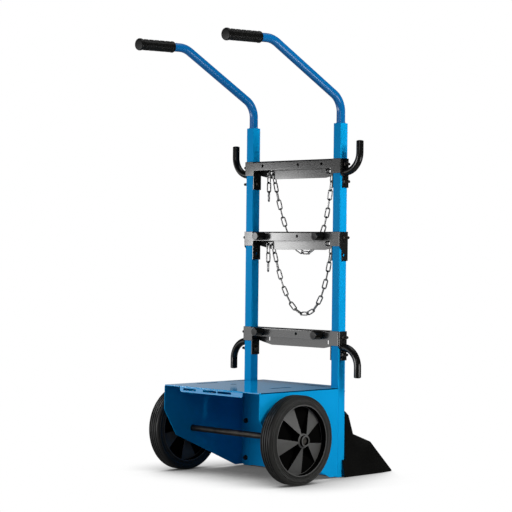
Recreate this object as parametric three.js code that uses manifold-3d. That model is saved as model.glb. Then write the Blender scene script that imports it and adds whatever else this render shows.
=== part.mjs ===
// Welding cart: two square uprights with bent handles, a tool deck over two
// wheels, a toe plate for a gas cylinder, and three brackets with hooks and chains.
// Millimetres, +Z up. +X is the operator's right and +Y points away from the operator.
// Heights are measured from the floor, and depths from the middle of the uprights.

import * as THREE from "three";
import { mergeVertices } from "three/addons/utils/BufferGeometryUtils.js";
import Module from "manifold-3d";

const wasm = await Module();
wasm.setup();

// Driving dimensions

const FIT_GAP = 0.3; // between touching pieces
const SHEET = 3; // folded sheet of the brackets, deck and toe plate

const UPRIGHT_PAIR_WIDTH = 360; // between the uprights' middles
const UPRIGHT_HEIGHT = 1020;
const UPRIGHT_SIZE = 30;
const UPRIGHT_WALL = 2;
const UPRIGHT_CORNER = 3;

const HANDLE_TUBE = 25;
const HANDLE_WALL = 2;
const HANDLE_PLUG = 80; // depth inside the upright
const HANDLE_RISE = 66; // upright top to the lower bend's corner
const HANDLE_RUN_BACK = 283; // upright to the upper bend's corner
const HANDLE_RUN_UP = 153;
const HANDLE_LOWER_RADIUS = 58;
const HANDLE_UPPER_RADIUS = 80;
const HANDLE_END_RUN = 175; // upper bend's corner to the tube's end
const HANDLE_END_DROOP = 1.6; // degrees below level

const GRIP_LENGTH = 130;
const GRIP_DIAMETER = 31;
const GRIP_FLANGE_DIAMETER = 35;
const GRIP_FLANGE = 11;
const GRIP_END_WALL = 4;

const DECK_HEIGHT = 258;
const DECK_REAR = 334; // behind the uprights' middles
const DECK_FRONT = 38; // in front of the uprights' middles
const DECK_SLOT_LENGTH = 84;
const DECK_SLOT_WIDTH = 12;
const DECK_FRONT_SLOT_AT = [95, -9]; // a slot across the deck, by its middle
const DECK_SIDE_SLOTS = [[-1, 34, -196], [-1, 16, -64], [1, 99, -150]]; // side, in from the edge, along
const DECK_EDGE_INSET = 1.5; // inside the side panels' outer faces
const DECK_HOLE_DIAMETER = 18;
const DECK_HOLE_AT = [-84, -165];
const LIP_WIDTH = 260;
const LIP_DEPTH = 17;
const LIP_CORNER = 7;
const LIP_SLOT_WIDTH = 6;
const LIP_SLOTS = [[-116, -62], [-32, 23], [28, 84]]; // from the middle plane

const PANEL_SHEET = 2.5;
const PANEL_FLANGE = 30;
const PANEL_FLOOR_GAP = 3;
const PANEL_REAR_HEIGHT = 185; // foot of the upright rear edge
const PANEL_KNEE_BACK = 288;
const PANEL_KNEE_HEIGHT = 109;
const PANEL_TOE_BACK = 47;

const AXLE_DIAMETER = 18;
const AXLE_BACK = 222;
const AXLE_CLEARANCE = 0.3;
const WHEEL_DIAMETER = 250;
const TYRE_WIDTH = 44;
const TYRE_BORE = 200;
const TYRE_SHOULDER = 5;
const TREAD_GROOVES = 4;
const TREAD_GROOVE_WIDTH = 2.4;
const TREAD_GROOVE_DEPTH = 2;
const WHEEL_GAP = 12.5; // side panel to tyre
const RIM_RECESS = 18; // spoke face behind the tyre's side
const RIM_BAND = 3.5;
const RIM_WEB = 2;
const SPOKES = 5;
const SPOKE_SHARE = 0.48; // of the turn that the spokes fill
const SPOKE_PHASE = 46; // degrees from forward to a spoke's middle
const HUB_DIAMETER = 32;
const HUB_BORE = 22;
const HUB_PROUD = 14; // hub end outside the tyre's side
const POCKET_ROOT = 21; // pocket's inner end from the axle
const POCKET_ROOT_SHARE = 1.5; // of the pocket's angle, at its inner end
const POCKET_LEDGE = 1.5; // left between a pocket and the rim's band
const RETAINER_WIDTH = 2.5;
const RETAINER_DEPTH = 8; // behind the hub's end

const TOE_REACH = 222; // in front of the uprights' middles
const TOE_BACK_HEIGHT = 189;
const TOE_BEND_HEIGHT = 77; // where the wings start to flare
const TOE_FLARE = 10; // degrees
const TOE_BEND_RADIUS = 3; // inside the fold at a wing's foot
const TOE_WING = [[31, 176], [51, 121], [126, 94], [168, 54]];
const TOE_WING_TAIL = [3, 50]; // the flare's rear end beside the upright, and its top

const UPPER_BRACKET_DROP = 102; // below the uprights' tops
const BRACKET_SHARES = { upper: 1, middle: 0.6803, lower: 0.2455 }; // of the height from deck to upper bracket
const BRACKET_REAR_LEG = 27;
const BRACKET_TAB = 42;
const BRACKET_TAB_INSET = 2; // tab past the collar, towards the middle
const BRACKET_TAB_SLOPE = 1;
const BRACKET_FRONT_LEG = 53;
const BRACKET_FRONT_END = 42;
const BRACKET_FRONT_TAPER = 54;
const COLLAR_HEIGHT = 84;
const COLLAR_NOTCH_TOP = 42; // below a bracket's top
const COLLAR_NOTCH_FOOT = 53;
const COLLAR_NOTCH_BACK = 8; // the outer plate's rear edge, behind the upright's middle
const PEG_OFFSET = 122;
const PEG_DROP = 13.5;
const PEG_DIAMETER = 25;
const PEG_LENGTH = 28;
const PEG_CHAMFER = 1.5;
const BRACKET_HOLE = 9;
const BRACKET_HOLE_OFFSET = 26;

const BOLT_DIAMETER = 8;
const BOLT_ACROSS_FLATS = 13;
const BOLT_HEAD = 5.3;
const NUT_HEIGHT = 6.5;
const BOLT_HOLE_CLEARANCE = 0.3;
const SHANK_OVERLAP = 1; // shank's reach into its head
const COLLAR_BOLT_DROPS = [17, 67]; // below a bracket's top
const COLLAR_BOLT_PROUD = 22; // past the upright's outer face
const TOE_BOLT_HEIGHTS = [23, 135];
const DECK_BOLT_DROP = 12; // below the deck
const FRAME_BOLT_PROUD = 12;

const HOOK_DIAMETER = 21;
const HOOK_REACH = 57; // collar to the hook's end
const HOOK_BEND = 55;
const HOOK_UPPER_DROP = 39;
const HOOK_LOWER_DROP = 46;
const HOOK_UPPER_RISE = 90;
const HOOK_LOWER_FALL = 86;

const LINK_WIRE = 4;
const LINK_WIDTH = 15;
const LINK_PITCH = 27;
const LINK_BITE = 0.9; // joined depth of two links
const LINK_TWIST = 15; // degrees from one link to the next, near an end
const LINK_TWIST_TOP = 45; // degrees
const CHAIN_LEFT = 118; // slots from the middle plane
const CHAIN_RIGHT = 124;
const CHAIN_SLOT_WIDTH = 5.6;
const CHAIN_SLOT_HEIGHT = 18;
const CHAIN_SLOT_CORNER = 1;
const CHAIN_SLOT_FOOT = 11; // front leg left below the slot
const CHAIN_PLAY = 0.9; // hanging link above the anchor's wire
const CHAIN_LEAN = 4; // degrees that a loop hangs forward of plumb
const CHAIN_LINKS = { upper: 21, middle: 19 };
const TAIL_LINKS = 3;

const ROUND_SIDES = 16;
const SMALL_ROUND_SIDES = 10;
const BOLT_SIDES = 8;
const WHEEL_SIDES = 28;
const LINK_STEPS = 8;
const LINK_SIDES = 4;
const CORNER_STEPS = 1;
const HANDLE_BEND_STEPS = 5;
const HOOK_BEND_STEPS = 6;
const SLOT_ROUNDING = 0.49; // corner radius of a slot, of its width
const FULL_TURN = 360; // degrees
const SEARCH_ROUNDS = 60; // halvings in the search for a chain's curve
const SEARCH_REACH = 50; // widest curve tried, in spans

// Worked-out places

const UPRIGHT_X = UPRIGHT_PAIR_WIDTH / 2;
const FACE = UPRIGHT_SIZE / 2;
const OUTER_X = UPRIGHT_X + FACE;
const INNER_X = UPRIGHT_X - FACE;
const COLLAR_IN = FACE + FIT_GAP;
const COLLAR_OUT = COLLAR_IN + SHEET;
const COLLAR_INNER_X = UPRIGHT_X - COLLAR_OUT;
const COLLAR_OUTER_X = UPRIGHT_X + COLLAR_OUT;
const AXLE_HEIGHT = WHEEL_DIAMETER / 2;
const PANEL_OUTER_X = OUTER_X + PANEL_SHEET;
const PANEL_TOP = DECK_HEIGHT - SHEET - FIT_GAP;
const TOE_BACK_Y = FACE + FIT_GAP;
const TOE_WING_FOOT = SHEET + TOE_BEND_RADIUS;
const TYRE_INNER_X = PANEL_OUTER_X + WHEEL_GAP;
const TYRE_OUTER_X = TYRE_INNER_X + TYRE_WIDTH;
const HUB_END_X = TYRE_OUTER_X + HUB_PROUD;
const BOLT_HOLE = BOLT_DIAMETER + 2 * BOLT_HOLE_CLEARANCE;
const FRAME_BOLT_HEIGHTS = [...TOE_BOLT_HEIGHTS, DECK_HEIGHT - DECK_BOLT_DROP];
const BRACKET_RISE = UPRIGHT_HEIGHT - UPPER_BRACKET_DROP - DECK_HEIGHT;
const BRACKET_TOPS = Object.fromEntries(
  Object.entries(BRACKET_SHARES).map(([name, share]) => [name, DECK_HEIGHT + share * BRACKET_RISE]),
);
const SIDES = { left: -1, right: 1 };

// Solids

function toSolid(geometry) {
  const bare = geometry.clone();
  bare.deleteAttribute("normal");
  bare.deleteAttribute("uv");
  const merged = mergeVertices(bare, 1e-4);
  const vertProperties = new Float32Array(merged.attributes.position.array);
  const triVerts = new Uint32Array(merged.index.array);
  return new wasm.Manifold(new wasm.Mesh({ numProp: 3, vertProperties, triVerts }));
}

function toGeometry(solid) {
  const mesh = solid.getMesh();
  const geometry = new THREE.BufferGeometry();
  geometry.setAttribute("position", new THREE.Float32BufferAttribute(mesh.vertProperties, 3));
  geometry.setIndex(new THREE.Uint32BufferAttribute(mesh.triVerts, 1));
  geometry.computeVertexNormals();
  return geometry;
}

function joined(solids) {
  return solids.reduce((whole, piece) => whole.add(piece));
}

function cutBy(solid, cutters) {
  return cutters.reduce((whole, cutter) => whole.subtract(cutter), solid);
}

function boxSolid([x0, x1], [y0, y1], [z0, z1]) {
  const geometry = new THREE.BoxGeometry(x1 - x0, y1 - y0, z1 - z0);
  geometry.translate((x0 + x1) / 2, (y0 + y1) / 2, (z0 + z1) / 2);
  return toSolid(geometry);
}

// A plate from an outline. Along x the outline is (y, z), along y it is (x, z).
const OUTLINE_AXES = {
  x: [[0, 1, 0], [0, 0, 1], [1, 0, 0]],
  y: [[1, 0, 0], [0, 0, 1], [0, -1, 0]],
  z: [[1, 0, 0], [0, 1, 0], [0, 0, 1]],
};

function plateGeometry(axis, shape, from, to, curveSegments = CORNER_STEPS) {
  const settings = { depth: to - from, bevelEnabled: false, curveSegments };
  const geometry = new THREE.ExtrudeGeometry(shape, settings);
  const directions = OUTLINE_AXES[axis].map((direction) => new THREE.Vector3(...direction));
  geometry.applyMatrix4(new THREE.Matrix4().makeBasis(...directions));
  const start = directions[2].clone().multiplyScalar(axis === "y" ? -to : from);
  geometry.translate(start.x, start.y, start.z);
  return geometry;
}

function plateSolid(axis, shape, from, to, curveSegments = CORNER_STEPS) {
  return toSolid(plateGeometry(axis, shape, from, to, curveSegments));
}

function polygon(points) {
  return new THREE.Shape(points.map(([u, v]) => new THREE.Vector2(u, v)));
}

function roundedRect(width, height, radius, u = 0, v = 0) {
  const shape = new THREE.Shape();
  const w = width / 2;
  const h = height / 2;
  shape.moveTo(u - w + radius, v - h);
  shape.lineTo(u + w - radius, v - h);
  shape.absarc(u + w - radius, v - h + radius, radius, -Math.PI / 2, 0);
  shape.lineTo(u + w, v + h - radius);
  shape.absarc(u + w - radius, v + h - radius, radius, 0, Math.PI / 2);
  shape.lineTo(u - w + radius, v + h);
  shape.absarc(u - w + radius, v + h - radius, radius, Math.PI / 2, Math.PI);
  shape.lineTo(u - w, v - h + radius);
  shape.absarc(u - w + radius, v - h + radius, radius, Math.PI, Math.PI * 1.5);
  return shape;
}

function slotShape(length, width, u, v) {
  return roundedRect(length, width, width * SLOT_ROUNDING, u, v);
}

const ROD_TURNS = {
  x: new THREE.Matrix4().makeRotationZ(-Math.PI / 2),
  y: new THREE.Matrix4(),
  z: new THREE.Matrix4().makeRotationX(Math.PI / 2),
};

// A round or hexagonal rod along an axis, between two places on that axis.
function rodSolid(axis, diameter, from, to, at = [0, 0, 0], sides = ROUND_SIDES) {
  const geometry = new THREE.CylinderGeometry(diameter / 2, diameter / 2, to - from, sides);
  geometry.applyMatrix4(ROD_TURNS[axis]);
  const place = new THREE.Vector3(...at);
  place[axis] += (from + to) / 2;
  geometry.translate(place.x, place.y, place.z);
  return toSolid(geometry);
}

function hexSolid(axis, from, to, at) {
  return rodSolid(axis, BOLT_ACROSS_FLATS / Math.cos(Math.PI / 6), from, to, at, 6);
}

// A ring turned about the x axis, from a closed (x, radius) profile.
function turnedSolid(profile, sides) {
  const points = [...profile, profile[0]].map(([x, radius]) => new THREE.Vector2(radius, x));
  const geometry = new THREE.LatheGeometry(points, sides);
  geometry.applyMatrix4(ROD_TURNS.x);
  return toSolid(geometry);
}

// A route of straight runs with round corners, whose stations carry the tube's sections.
class BentRoute extends THREE.Curve {
  constructor(corners, radii, arcSteps) {
    super();
    this.stations = [];
    const last = corners.length - 1;
    corners.forEach((corner, index) => {
      if (index === 0 || index === last) {
        const other = corners[index === 0 ? 1 : last - 1];
        const along = index === 0 ? other.clone().sub(corner) : corner.clone().sub(other);
        this.stations.push({ point: corner, tangent: along.normalize() });
        return;
      }
      this.addBend(corners[index - 1], corner, corners[index + 1], radii[index - 1], arcSteps);
    });
  }

  addBend(before, corner, after, radius, arcSteps) {
    const arriving = corner.clone().sub(before).normalize();
    const leaving = after.clone().sub(corner).normalize();
    const angle = arriving.angleTo(leaving);
    const inward = leaving.clone().sub(arriving).normalize();
    const centre = corner.clone().addScaledVector(inward, radius / Math.cos(angle / 2));
    const axis = arriving.clone().cross(leaving).normalize();
    const start = corner.clone().addScaledVector(arriving, -radius * Math.tan(angle / 2)).sub(centre);
    for (let step = 0; step <= arcSteps; step += 1) {
      const turn = (angle * step) / arcSteps;
      const point = start.clone().applyAxisAngle(axis, turn).add(centre);
      const tangent = arriving.clone().applyAxisAngle(axis, turn);
      this.stations.push({ point, tangent });
    }
  }

  get steps() {
    return this.stations.length - 1;
  }

  getPoint(t) {
    return this.stations[Math.round(t * this.steps)].point.clone();
  }

  getPointAt(u) {
    return this.getPoint(u);
  }

  getTangentAt(u) {
    return this.stations[Math.round(u * this.steps)].tangent.clone();
  }
}

function circleShape(diameter, sides) {
  const points = [];
  for (let side = 0; side < sides; side += 1) {
    const angle = ((side + 0.5) / sides) * 2 * Math.PI;
    points.push(new THREE.Vector2(Math.cos(angle), Math.sin(angle)).multiplyScalar(diameter / 2));
  }
  return new THREE.Shape(points);
}

function sweptGeometry(shape, route) {
  return new THREE.ExtrudeGeometry(shape, { extrudePath: route, steps: route.steps, bevelEnabled: false });
}

// Scene graph

const cart = new THREE.Group();

function material(color, roughness, metalness) {
  return new THREE.MeshStandardMaterial({ color, roughness, metalness });
}

const FINISHES = {
  bluePaint: () => material(0x0a6fc2, 0.35, 0.1),
  blackPaint: () => material(0x15161a, 0.3, 0.1),
  rubber: () => material(0x2a2a2b, 0.85, 0),
  plastic: () => material(0x26272a, 0.55, 0),
  darkSteel: () => material(0x3a3a38, 0.4, 0.9),
  zinc: () => material(0x9a9da3, 0.35, 0.95),
  nylon: () => material(0x1d1d1f, 0.5, 0),
};

function place(name, geometry, finish, parent = cart) {
  const mesh = new THREE.Mesh(geometry, FINISHES[finish]());
  mesh.name = name;
  parent.add(mesh);
  return mesh;
}

// Uprights

function collarBoltHeights(bracketName) {
  const drops = bracketName === "middle" ? COLLAR_BOLT_DROPS.slice(0, 1) : COLLAR_BOLT_DROPS;
  return drops.map((drop) => BRACKET_TOPS[bracketName] - drop);
}

function uprightSolid(side) {
  const shape = roundedRect(UPRIGHT_SIZE, UPRIGHT_SIZE, UPRIGHT_CORNER);
  const bore = UPRIGHT_SIZE - 2 * UPRIGHT_WALL;
  shape.holes.push(roundedRect(bore, bore, UPRIGHT_CORNER - UPRIGHT_WALL));
  const tube = plateSolid("z", shape, 0, UPRIGHT_HEIGHT).translate([side * UPRIGHT_X, 0, 0]);
  const cutters = Object.keys(BRACKET_TOPS).flatMap((bracketName) => collarBoltHeights(bracketName).map(
    (height) => rodSolid("x", BOLT_HOLE, -UPRIGHT_SIZE, UPRIGHT_SIZE, [side * UPRIGHT_X, 0, height],
      BOLT_SIDES),
  ));
  FRAME_BOLT_HEIGHTS.forEach((height) => {
    const at = [side * UPRIGHT_X, 0, height];
    cutters.push(rodSolid("y", BOLT_HOLE, -UPRIGHT_SIZE, UPRIGHT_SIZE, at, BOLT_SIDES));
  });
  return cutBy(tube, cutters);
}

// Handles and grips

const HANDLE_END_ANGLE = THREE.MathUtils.degToRad(HANDLE_END_DROOP);
const HANDLE_LOWER_CORNER = new THREE.Vector3(0, 0, UPRIGHT_HEIGHT + HANDLE_RISE);
const HANDLE_UPPER_CORNER = HANDLE_LOWER_CORNER.clone()
  .add(new THREE.Vector3(0, -HANDLE_RUN_BACK, HANDLE_RUN_UP));
const HANDLE_END_DIRECTION = new THREE.Vector3(0, -Math.cos(HANDLE_END_ANGLE), -Math.sin(HANDLE_END_ANGLE));
const HANDLE_END = HANDLE_UPPER_CORNER.clone().addScaledVector(HANDLE_END_DIRECTION, HANDLE_END_RUN);

function handleGeometry() {
  const corners = [
    new THREE.Vector3(0, 0, UPRIGHT_HEIGHT - HANDLE_PLUG),
    HANDLE_LOWER_CORNER,
    HANDLE_UPPER_CORNER,
    HANDLE_END,
  ];
  const route = new BentRoute(corners, [HANDLE_LOWER_RADIUS, HANDLE_UPPER_RADIUS], HANDLE_BEND_STEPS);
  const shape = circleShape(HANDLE_TUBE, ROUND_SIDES);
  shape.holes.push(circleShape(HANDLE_TUBE - 2 * HANDLE_WALL, BOLT_SIDES));
  return sweptGeometry(shape, route);
}

// A grip along +Z from its open mouth to its closed, flanged end.
function gripGeometry() {
  const bore = HANDLE_TUBE / 2 + FIT_GAP;
  const radius = GRIP_DIAMETER / 2;
  const flange = GRIP_FLANGE_DIAMETER / 2;
  const edge = GRIP_END_WALL / 2;
  const profile = [
    [0, GRIP_LENGTH - GRIP_END_WALL],
    [bore, GRIP_LENGTH - GRIP_END_WALL],
    [bore, 0],
    [radius - edge, 0],
    [radius, edge],
    [radius, GRIP_LENGTH - GRIP_FLANGE],
    [flange, GRIP_LENGTH - GRIP_FLANGE + edge],
    [flange, GRIP_LENGTH - edge],
    [flange - edge, GRIP_LENGTH],
    [0, GRIP_LENGTH],
  ];
  const points = profile.map(([r, z]) => new THREE.Vector2(r, z));
  const geometry = new THREE.LatheGeometry(points, ROUND_SIDES);
  geometry.rotateX(Math.PI / 2);
  return toGeometry(toSolid(geometry));
}

// Deck, side panels, axle

function deckSolid() {
  const rear = -DECK_REAR;
  const neck = INNER_X - FIT_GAP;
  const wide = PANEL_OUTER_X - DECK_EDGE_INSET;
  const shoulder = -(FACE + FIT_GAP);
  const shape = polygon([
    [-wide, rear], [wide, rear], [wide, shoulder], [neck, shoulder],
    [neck, DECK_FRONT], [-neck, DECK_FRONT], [-neck, shoulder], [-wide, shoulder],
  ]);
  const rounding = DECK_SLOT_WIDTH * SLOT_ROUNDING;
  shape.holes.push(slotShape(DECK_SLOT_LENGTH, DECK_SLOT_WIDTH, ...DECK_FRONT_SLOT_AT));
  DECK_SIDE_SLOTS.forEach(([side, inset, y]) => {
    shape.holes.push(roundedRect(DECK_SLOT_WIDTH, DECK_SLOT_LENGTH, rounding, side * (wide - inset), y));
  });
  const [holeX, holeY] = DECK_HOLE_AT;
  const plate = plateSolid("z", shape, DECK_HEIGHT - SHEET, DECK_HEIGHT);
  const hole = rodSolid("z", DECK_HOLE_DIAMETER, -SHEET, SHEET, [holeX, holeY, DECK_HEIGHT],
    SMALL_ROUND_SIDES);
  return plate.subtract(hole).add(lipSolid());
}

// The lip hangs from the deck's rear edge, with three slots.
function lipSolid() {
  const shape = new THREE.Shape();
  const half = LIP_WIDTH / 2;
  shape.moveTo(-half, 0);
  shape.lineTo(-half, -LIP_DEPTH + LIP_CORNER);
  shape.absarc(-half + LIP_CORNER, -LIP_DEPTH + LIP_CORNER, LIP_CORNER, Math.PI, Math.PI * 1.5);
  shape.lineTo(half - LIP_CORNER, -LIP_DEPTH);
  shape.absarc(half - LIP_CORNER, -LIP_DEPTH + LIP_CORNER, LIP_CORNER, Math.PI * 1.5, Math.PI * 2);
  shape.lineTo(half, 0);
  LIP_SLOTS.forEach(([from, to]) => {
    shape.holes.push(slotShape(to - from, LIP_SLOT_WIDTH, (from + to) / 2, -LIP_DEPTH / 2));
  });
  return plateSolid("y", shape, -DECK_REAR, SHEET - DECK_REAR).translate([0, 0, DECK_HEIGHT]);
}

// The side panel's rear edge runs down, turns at a knee and slopes to the uprights.
function panelSolid(side) {
  const front = -(FACE + FIT_GAP);
  const shape = new THREE.Shape();
  shape.moveTo(front, PANEL_TOP);
  shape.lineTo(-DECK_REAR, PANEL_TOP);
  shape.lineTo(-DECK_REAR, PANEL_REAR_HEIGHT);
  shape.lineTo(-PANEL_KNEE_BACK, PANEL_KNEE_HEIGHT);
  shape.lineTo(-PANEL_TOE_BACK, PANEL_FLOOR_GAP);
  shape.lineTo(front, PANEL_FLOOR_GAP);
  const outer = PANEL_OUTER_X;
  const [from, to] = side > 0 ? [outer - PANEL_SHEET, outer] : [-outer, PANEL_SHEET - outer];
  const web = plateSolid("x", shape, from, to);
  const flangeX = side > 0 ? [outer - PANEL_FLANGE, outer] : [-outer, PANEL_FLANGE - outer];
  const flange = boxSolid(flangeX, [front - PANEL_SHEET, front], [PANEL_FLOOR_GAP, PANEL_TOP]);
  const cutters = FRAME_BOLT_HEIGHTS.map((height) => rodSolid("y", BOLT_HOLE, -UPRIGHT_SIZE, UPRIGHT_SIZE,
    [side * UPRIGHT_X, 0, height], BOLT_SIDES));
  cutters.push(rodSolid("x", AXLE_DIAMETER + 2 * AXLE_CLEARANCE, -WHEEL_GAP, WHEEL_GAP,
    [side * outer, -AXLE_BACK, AXLE_HEIGHT]));
  return cutBy(web.add(flange), cutters);
}

// The wall closes the bay's front, between the flanges of the side panels.
function bayWallSolid() {
  const half = PANEL_OUTER_X - PANEL_FLANGE - FIT_GAP;
  const front = -(FACE + FIT_GAP);
  return boxSolid([-half, half], [front - PANEL_SHEET, front], [PANEL_FLOOR_GAP, PANEL_TOP]);
}

function axleSolid() {
  const end = HUB_END_X - RETAINER_DEPTH + RETAINER_WIDTH;
  return rodSolid("x", AXLE_DIAMETER, -end, end, [0, -AXLE_BACK, AXLE_HEIGHT]);
}

// Wheels, turned about the x axis with their outer side towards +X

function tyreProfile() {
  const radius = WHEEL_DIAMETER / 2;
  const bore = TYRE_BORE / 2;
  const groovePitch = (TYRE_WIDTH - 2 * TYRE_SHOULDER) / (TREAD_GROOVES + 1);
  const tread = [[-TYRE_WIDTH / 2, radius - TYRE_SHOULDER], [TYRE_SHOULDER - TYRE_WIDTH / 2, radius]];
  for (let groove = 1; groove <= TREAD_GROOVES; groove += 1) {
    const middle = TYRE_SHOULDER - TYRE_WIDTH / 2 + groove * groovePitch;
    tread.push([middle - TREAD_GROOVE_WIDTH / 2, radius]);
    tread.push([middle, radius - TREAD_GROOVE_DEPTH]);
    tread.push([middle + TREAD_GROOVE_WIDTH / 2, radius]);
  }
  tread.push([TYRE_WIDTH / 2 - TYRE_SHOULDER, radius], [TYRE_WIDTH / 2, radius - TYRE_SHOULDER]);
  return [[-TYRE_WIDTH / 2, bore], ...tread, [TYRE_WIDTH / 2, bore]];
}

function pocketShape() {
  const outer = TYRE_BORE / 2 - FIT_GAP - RIM_BAND - POCKET_LEDGE;
  const half = (Math.PI / SPOKES) * (1 - SPOKE_SHARE);
  const shape = new THREE.Shape();
  shape.absarc(0, 0, outer, -half, half, false);
  shape.absarc(0, 0, POCKET_ROOT, half * POCKET_ROOT_SHARE, -half * POCKET_ROOT_SHARE, true);
  return shape;
}

function rimSolid() {
  const band = TYRE_BORE / 2 - FIT_GAP;
  const face = TYRE_WIDTH / 2 - RIM_RECESS;
  const bandFace = TYRE_WIDTH / 2;
  const hub = HUB_DIAMETER / 2;
  const hubEnd = TYRE_WIDTH / 2 + HUB_PROUD;
  const bandInner = band - RIM_BAND;
  const body = turnedSolid([
    [-bandFace, HUB_BORE / 2], [-bandFace, hub], [-face, hub], [-face, bandInner], [-bandFace, bandInner],
    [-bandFace, band], [bandFace, band], [bandFace, bandInner], [face, bandInner], [face, hub],
    [hubEnd, hub], [hubEnd, HUB_BORE / 2],
  ], WHEEL_SIDES);
  const cutters = [];
  for (let spoke = 0; spoke < SPOKES; spoke += 1) {
    const middle = SPOKE_PHASE + ((spoke + 0.5) * FULL_TURN) / SPOKES;
    [[RIM_WEB / 2, TYRE_WIDTH], [-TYRE_WIDTH, -RIM_WEB / 2]].forEach(([from, to]) => {
      cutters.push(plateSolid("x", pocketShape(), from, to).rotate([middle, 0, 0]));
    });
  }
  return cutBy(body, cutters);
}

function bushSolid() {
  const bore = AXLE_DIAMETER / 2 + AXLE_CLEARANCE;
  const outer = HUB_BORE / 2 - FIT_GAP;
  const end = TYRE_WIDTH / 2 + HUB_PROUD - RETAINER_DEPTH - FIT_GAP;
  return turnedSolid([
    [-TYRE_WIDTH / 2, bore], [-TYRE_WIDTH / 2, outer], [end, outer], [end, bore],
  ], ROUND_SIDES);
}

function retainerSolid() {
  const outer = HUB_BORE / 2 - 2 * FIT_GAP;
  const bore = AXLE_DIAMETER / 2 + FIT_GAP;
  return turnedSolid([[0, bore], [0, outer], [RETAINER_WIDTH, outer], [RETAINER_WIDTH, bore]], ROUND_SIDES);
}

function spacerSolid() {
  const bore = AXLE_DIAMETER / 2 + AXLE_CLEARANCE;
  const outer = HUB_DIAMETER / 2;
  const from = FIT_GAP;
  const to = WHEEL_GAP - FIT_GAP;
  return turnedSolid([[from, bore], [from, outer], [to, outer], [to, bore]], ROUND_SIDES);
}

function placeWheel(sideName, side) {
  const group = new THREE.Group();
  group.position.set(side * (TYRE_INNER_X + TYRE_WIDTH / 2), -AXLE_BACK, AXLE_HEIGHT);
  group.rotation.z = side > 0 ? 0 : Math.PI;
  cart.add(group);
  place(`tyre_${sideName}`, toGeometry(turnedSolid(tyreProfile(), WHEEL_SIDES)), "rubber", group);
  place(`wheel_rim_${sideName}`, toGeometry(rimSolid()), "plastic", group);
  place(`wheel_bush_${sideName}`, toGeometry(bushSolid()), "nylon", group);
  const retainer = place(`axle_retainer_${sideName}`, toGeometry(retainerSolid()), "darkSteel", group);
  retainer.position.x = TYRE_WIDTH / 2 + HUB_PROUD - RETAINER_DEPTH;
  const spacer = place(`axle_spacer_${sideName}`, toGeometry(spacerSolid()), "darkSteel", group);
  spacer.position.x = -TYRE_WIDTH / 2 - WHEEL_GAP;
}

// Toe plate

function hexahedron(lower, upper) {
  const positions = [...lower, ...upper].flat();
  const index = [0, 2, 1, 0, 3, 2, 4, 5, 6, 4, 6, 7];
  for (let edge = 0; edge < 4; edge += 1) {
    const next = (edge + 1) % 4;
    index.push(edge, next, next + 4, edge, next + 4, edge + 4);
  }
  const geometry = new THREE.BufferGeometry();
  geometry.setAttribute("position", new THREE.Float32BufferAttribute(positions, 3));
  geometry.setIndex(index);
  return toSolid(geometry);
}

// How far a wing's outer side stands from the middle plane on the floor, from its back to its tip.
function toeSpreads() {
  const slope = Math.tan(THREE.MathUtils.degToRad(TOE_FLARE));
  const [bendY, bendZ] = TOE_WING[TOE_WING.length - 1];
  return [
    [TOE_BACK_Y, OUTER_X + TOE_BEND_HEIGHT * slope],
    [bendY, OUTER_X + bendZ * slope],
    [TOE_REACH, OUTER_X],
  ];
}

// The toe plate is folded up at its back, and lies between the feet of its wings.
function toePlateSolid() {
  const edge = toeSpreads().map(([y, spread]) => [spread - TOE_WING_FOOT - FIT_GAP, y]);
  const base = plateSolid("z", polygon([...edge, ...edge.map(([x, y]) => [-x, y]).reverse()]), 0, SHEET);
  const half = OUTER_X - SHEET - FIT_GAP;
  const backShape = polygon(mirrored([[half, TOE_BACK_HEIGHT], [half, TOE_BEND_HEIGHT], [edge[0][0], 0]]));
  const backPlate = plateSolid("y", backShape, TOE_BACK_Y, TOE_BACK_Y + SHEET);
  const cutters = [-1, 1].flatMap((side) => FRAME_BOLT_HEIGHTS.map((height) => rodSolid("y", BOLT_HOLE,
    -UPRIGHT_SIZE, UPRIGHT_SIZE, [side * UPRIGHT_X, 0, height], BOLT_SIDES)));
  return cutBy(base.add(backPlate), cutters);
}

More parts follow.
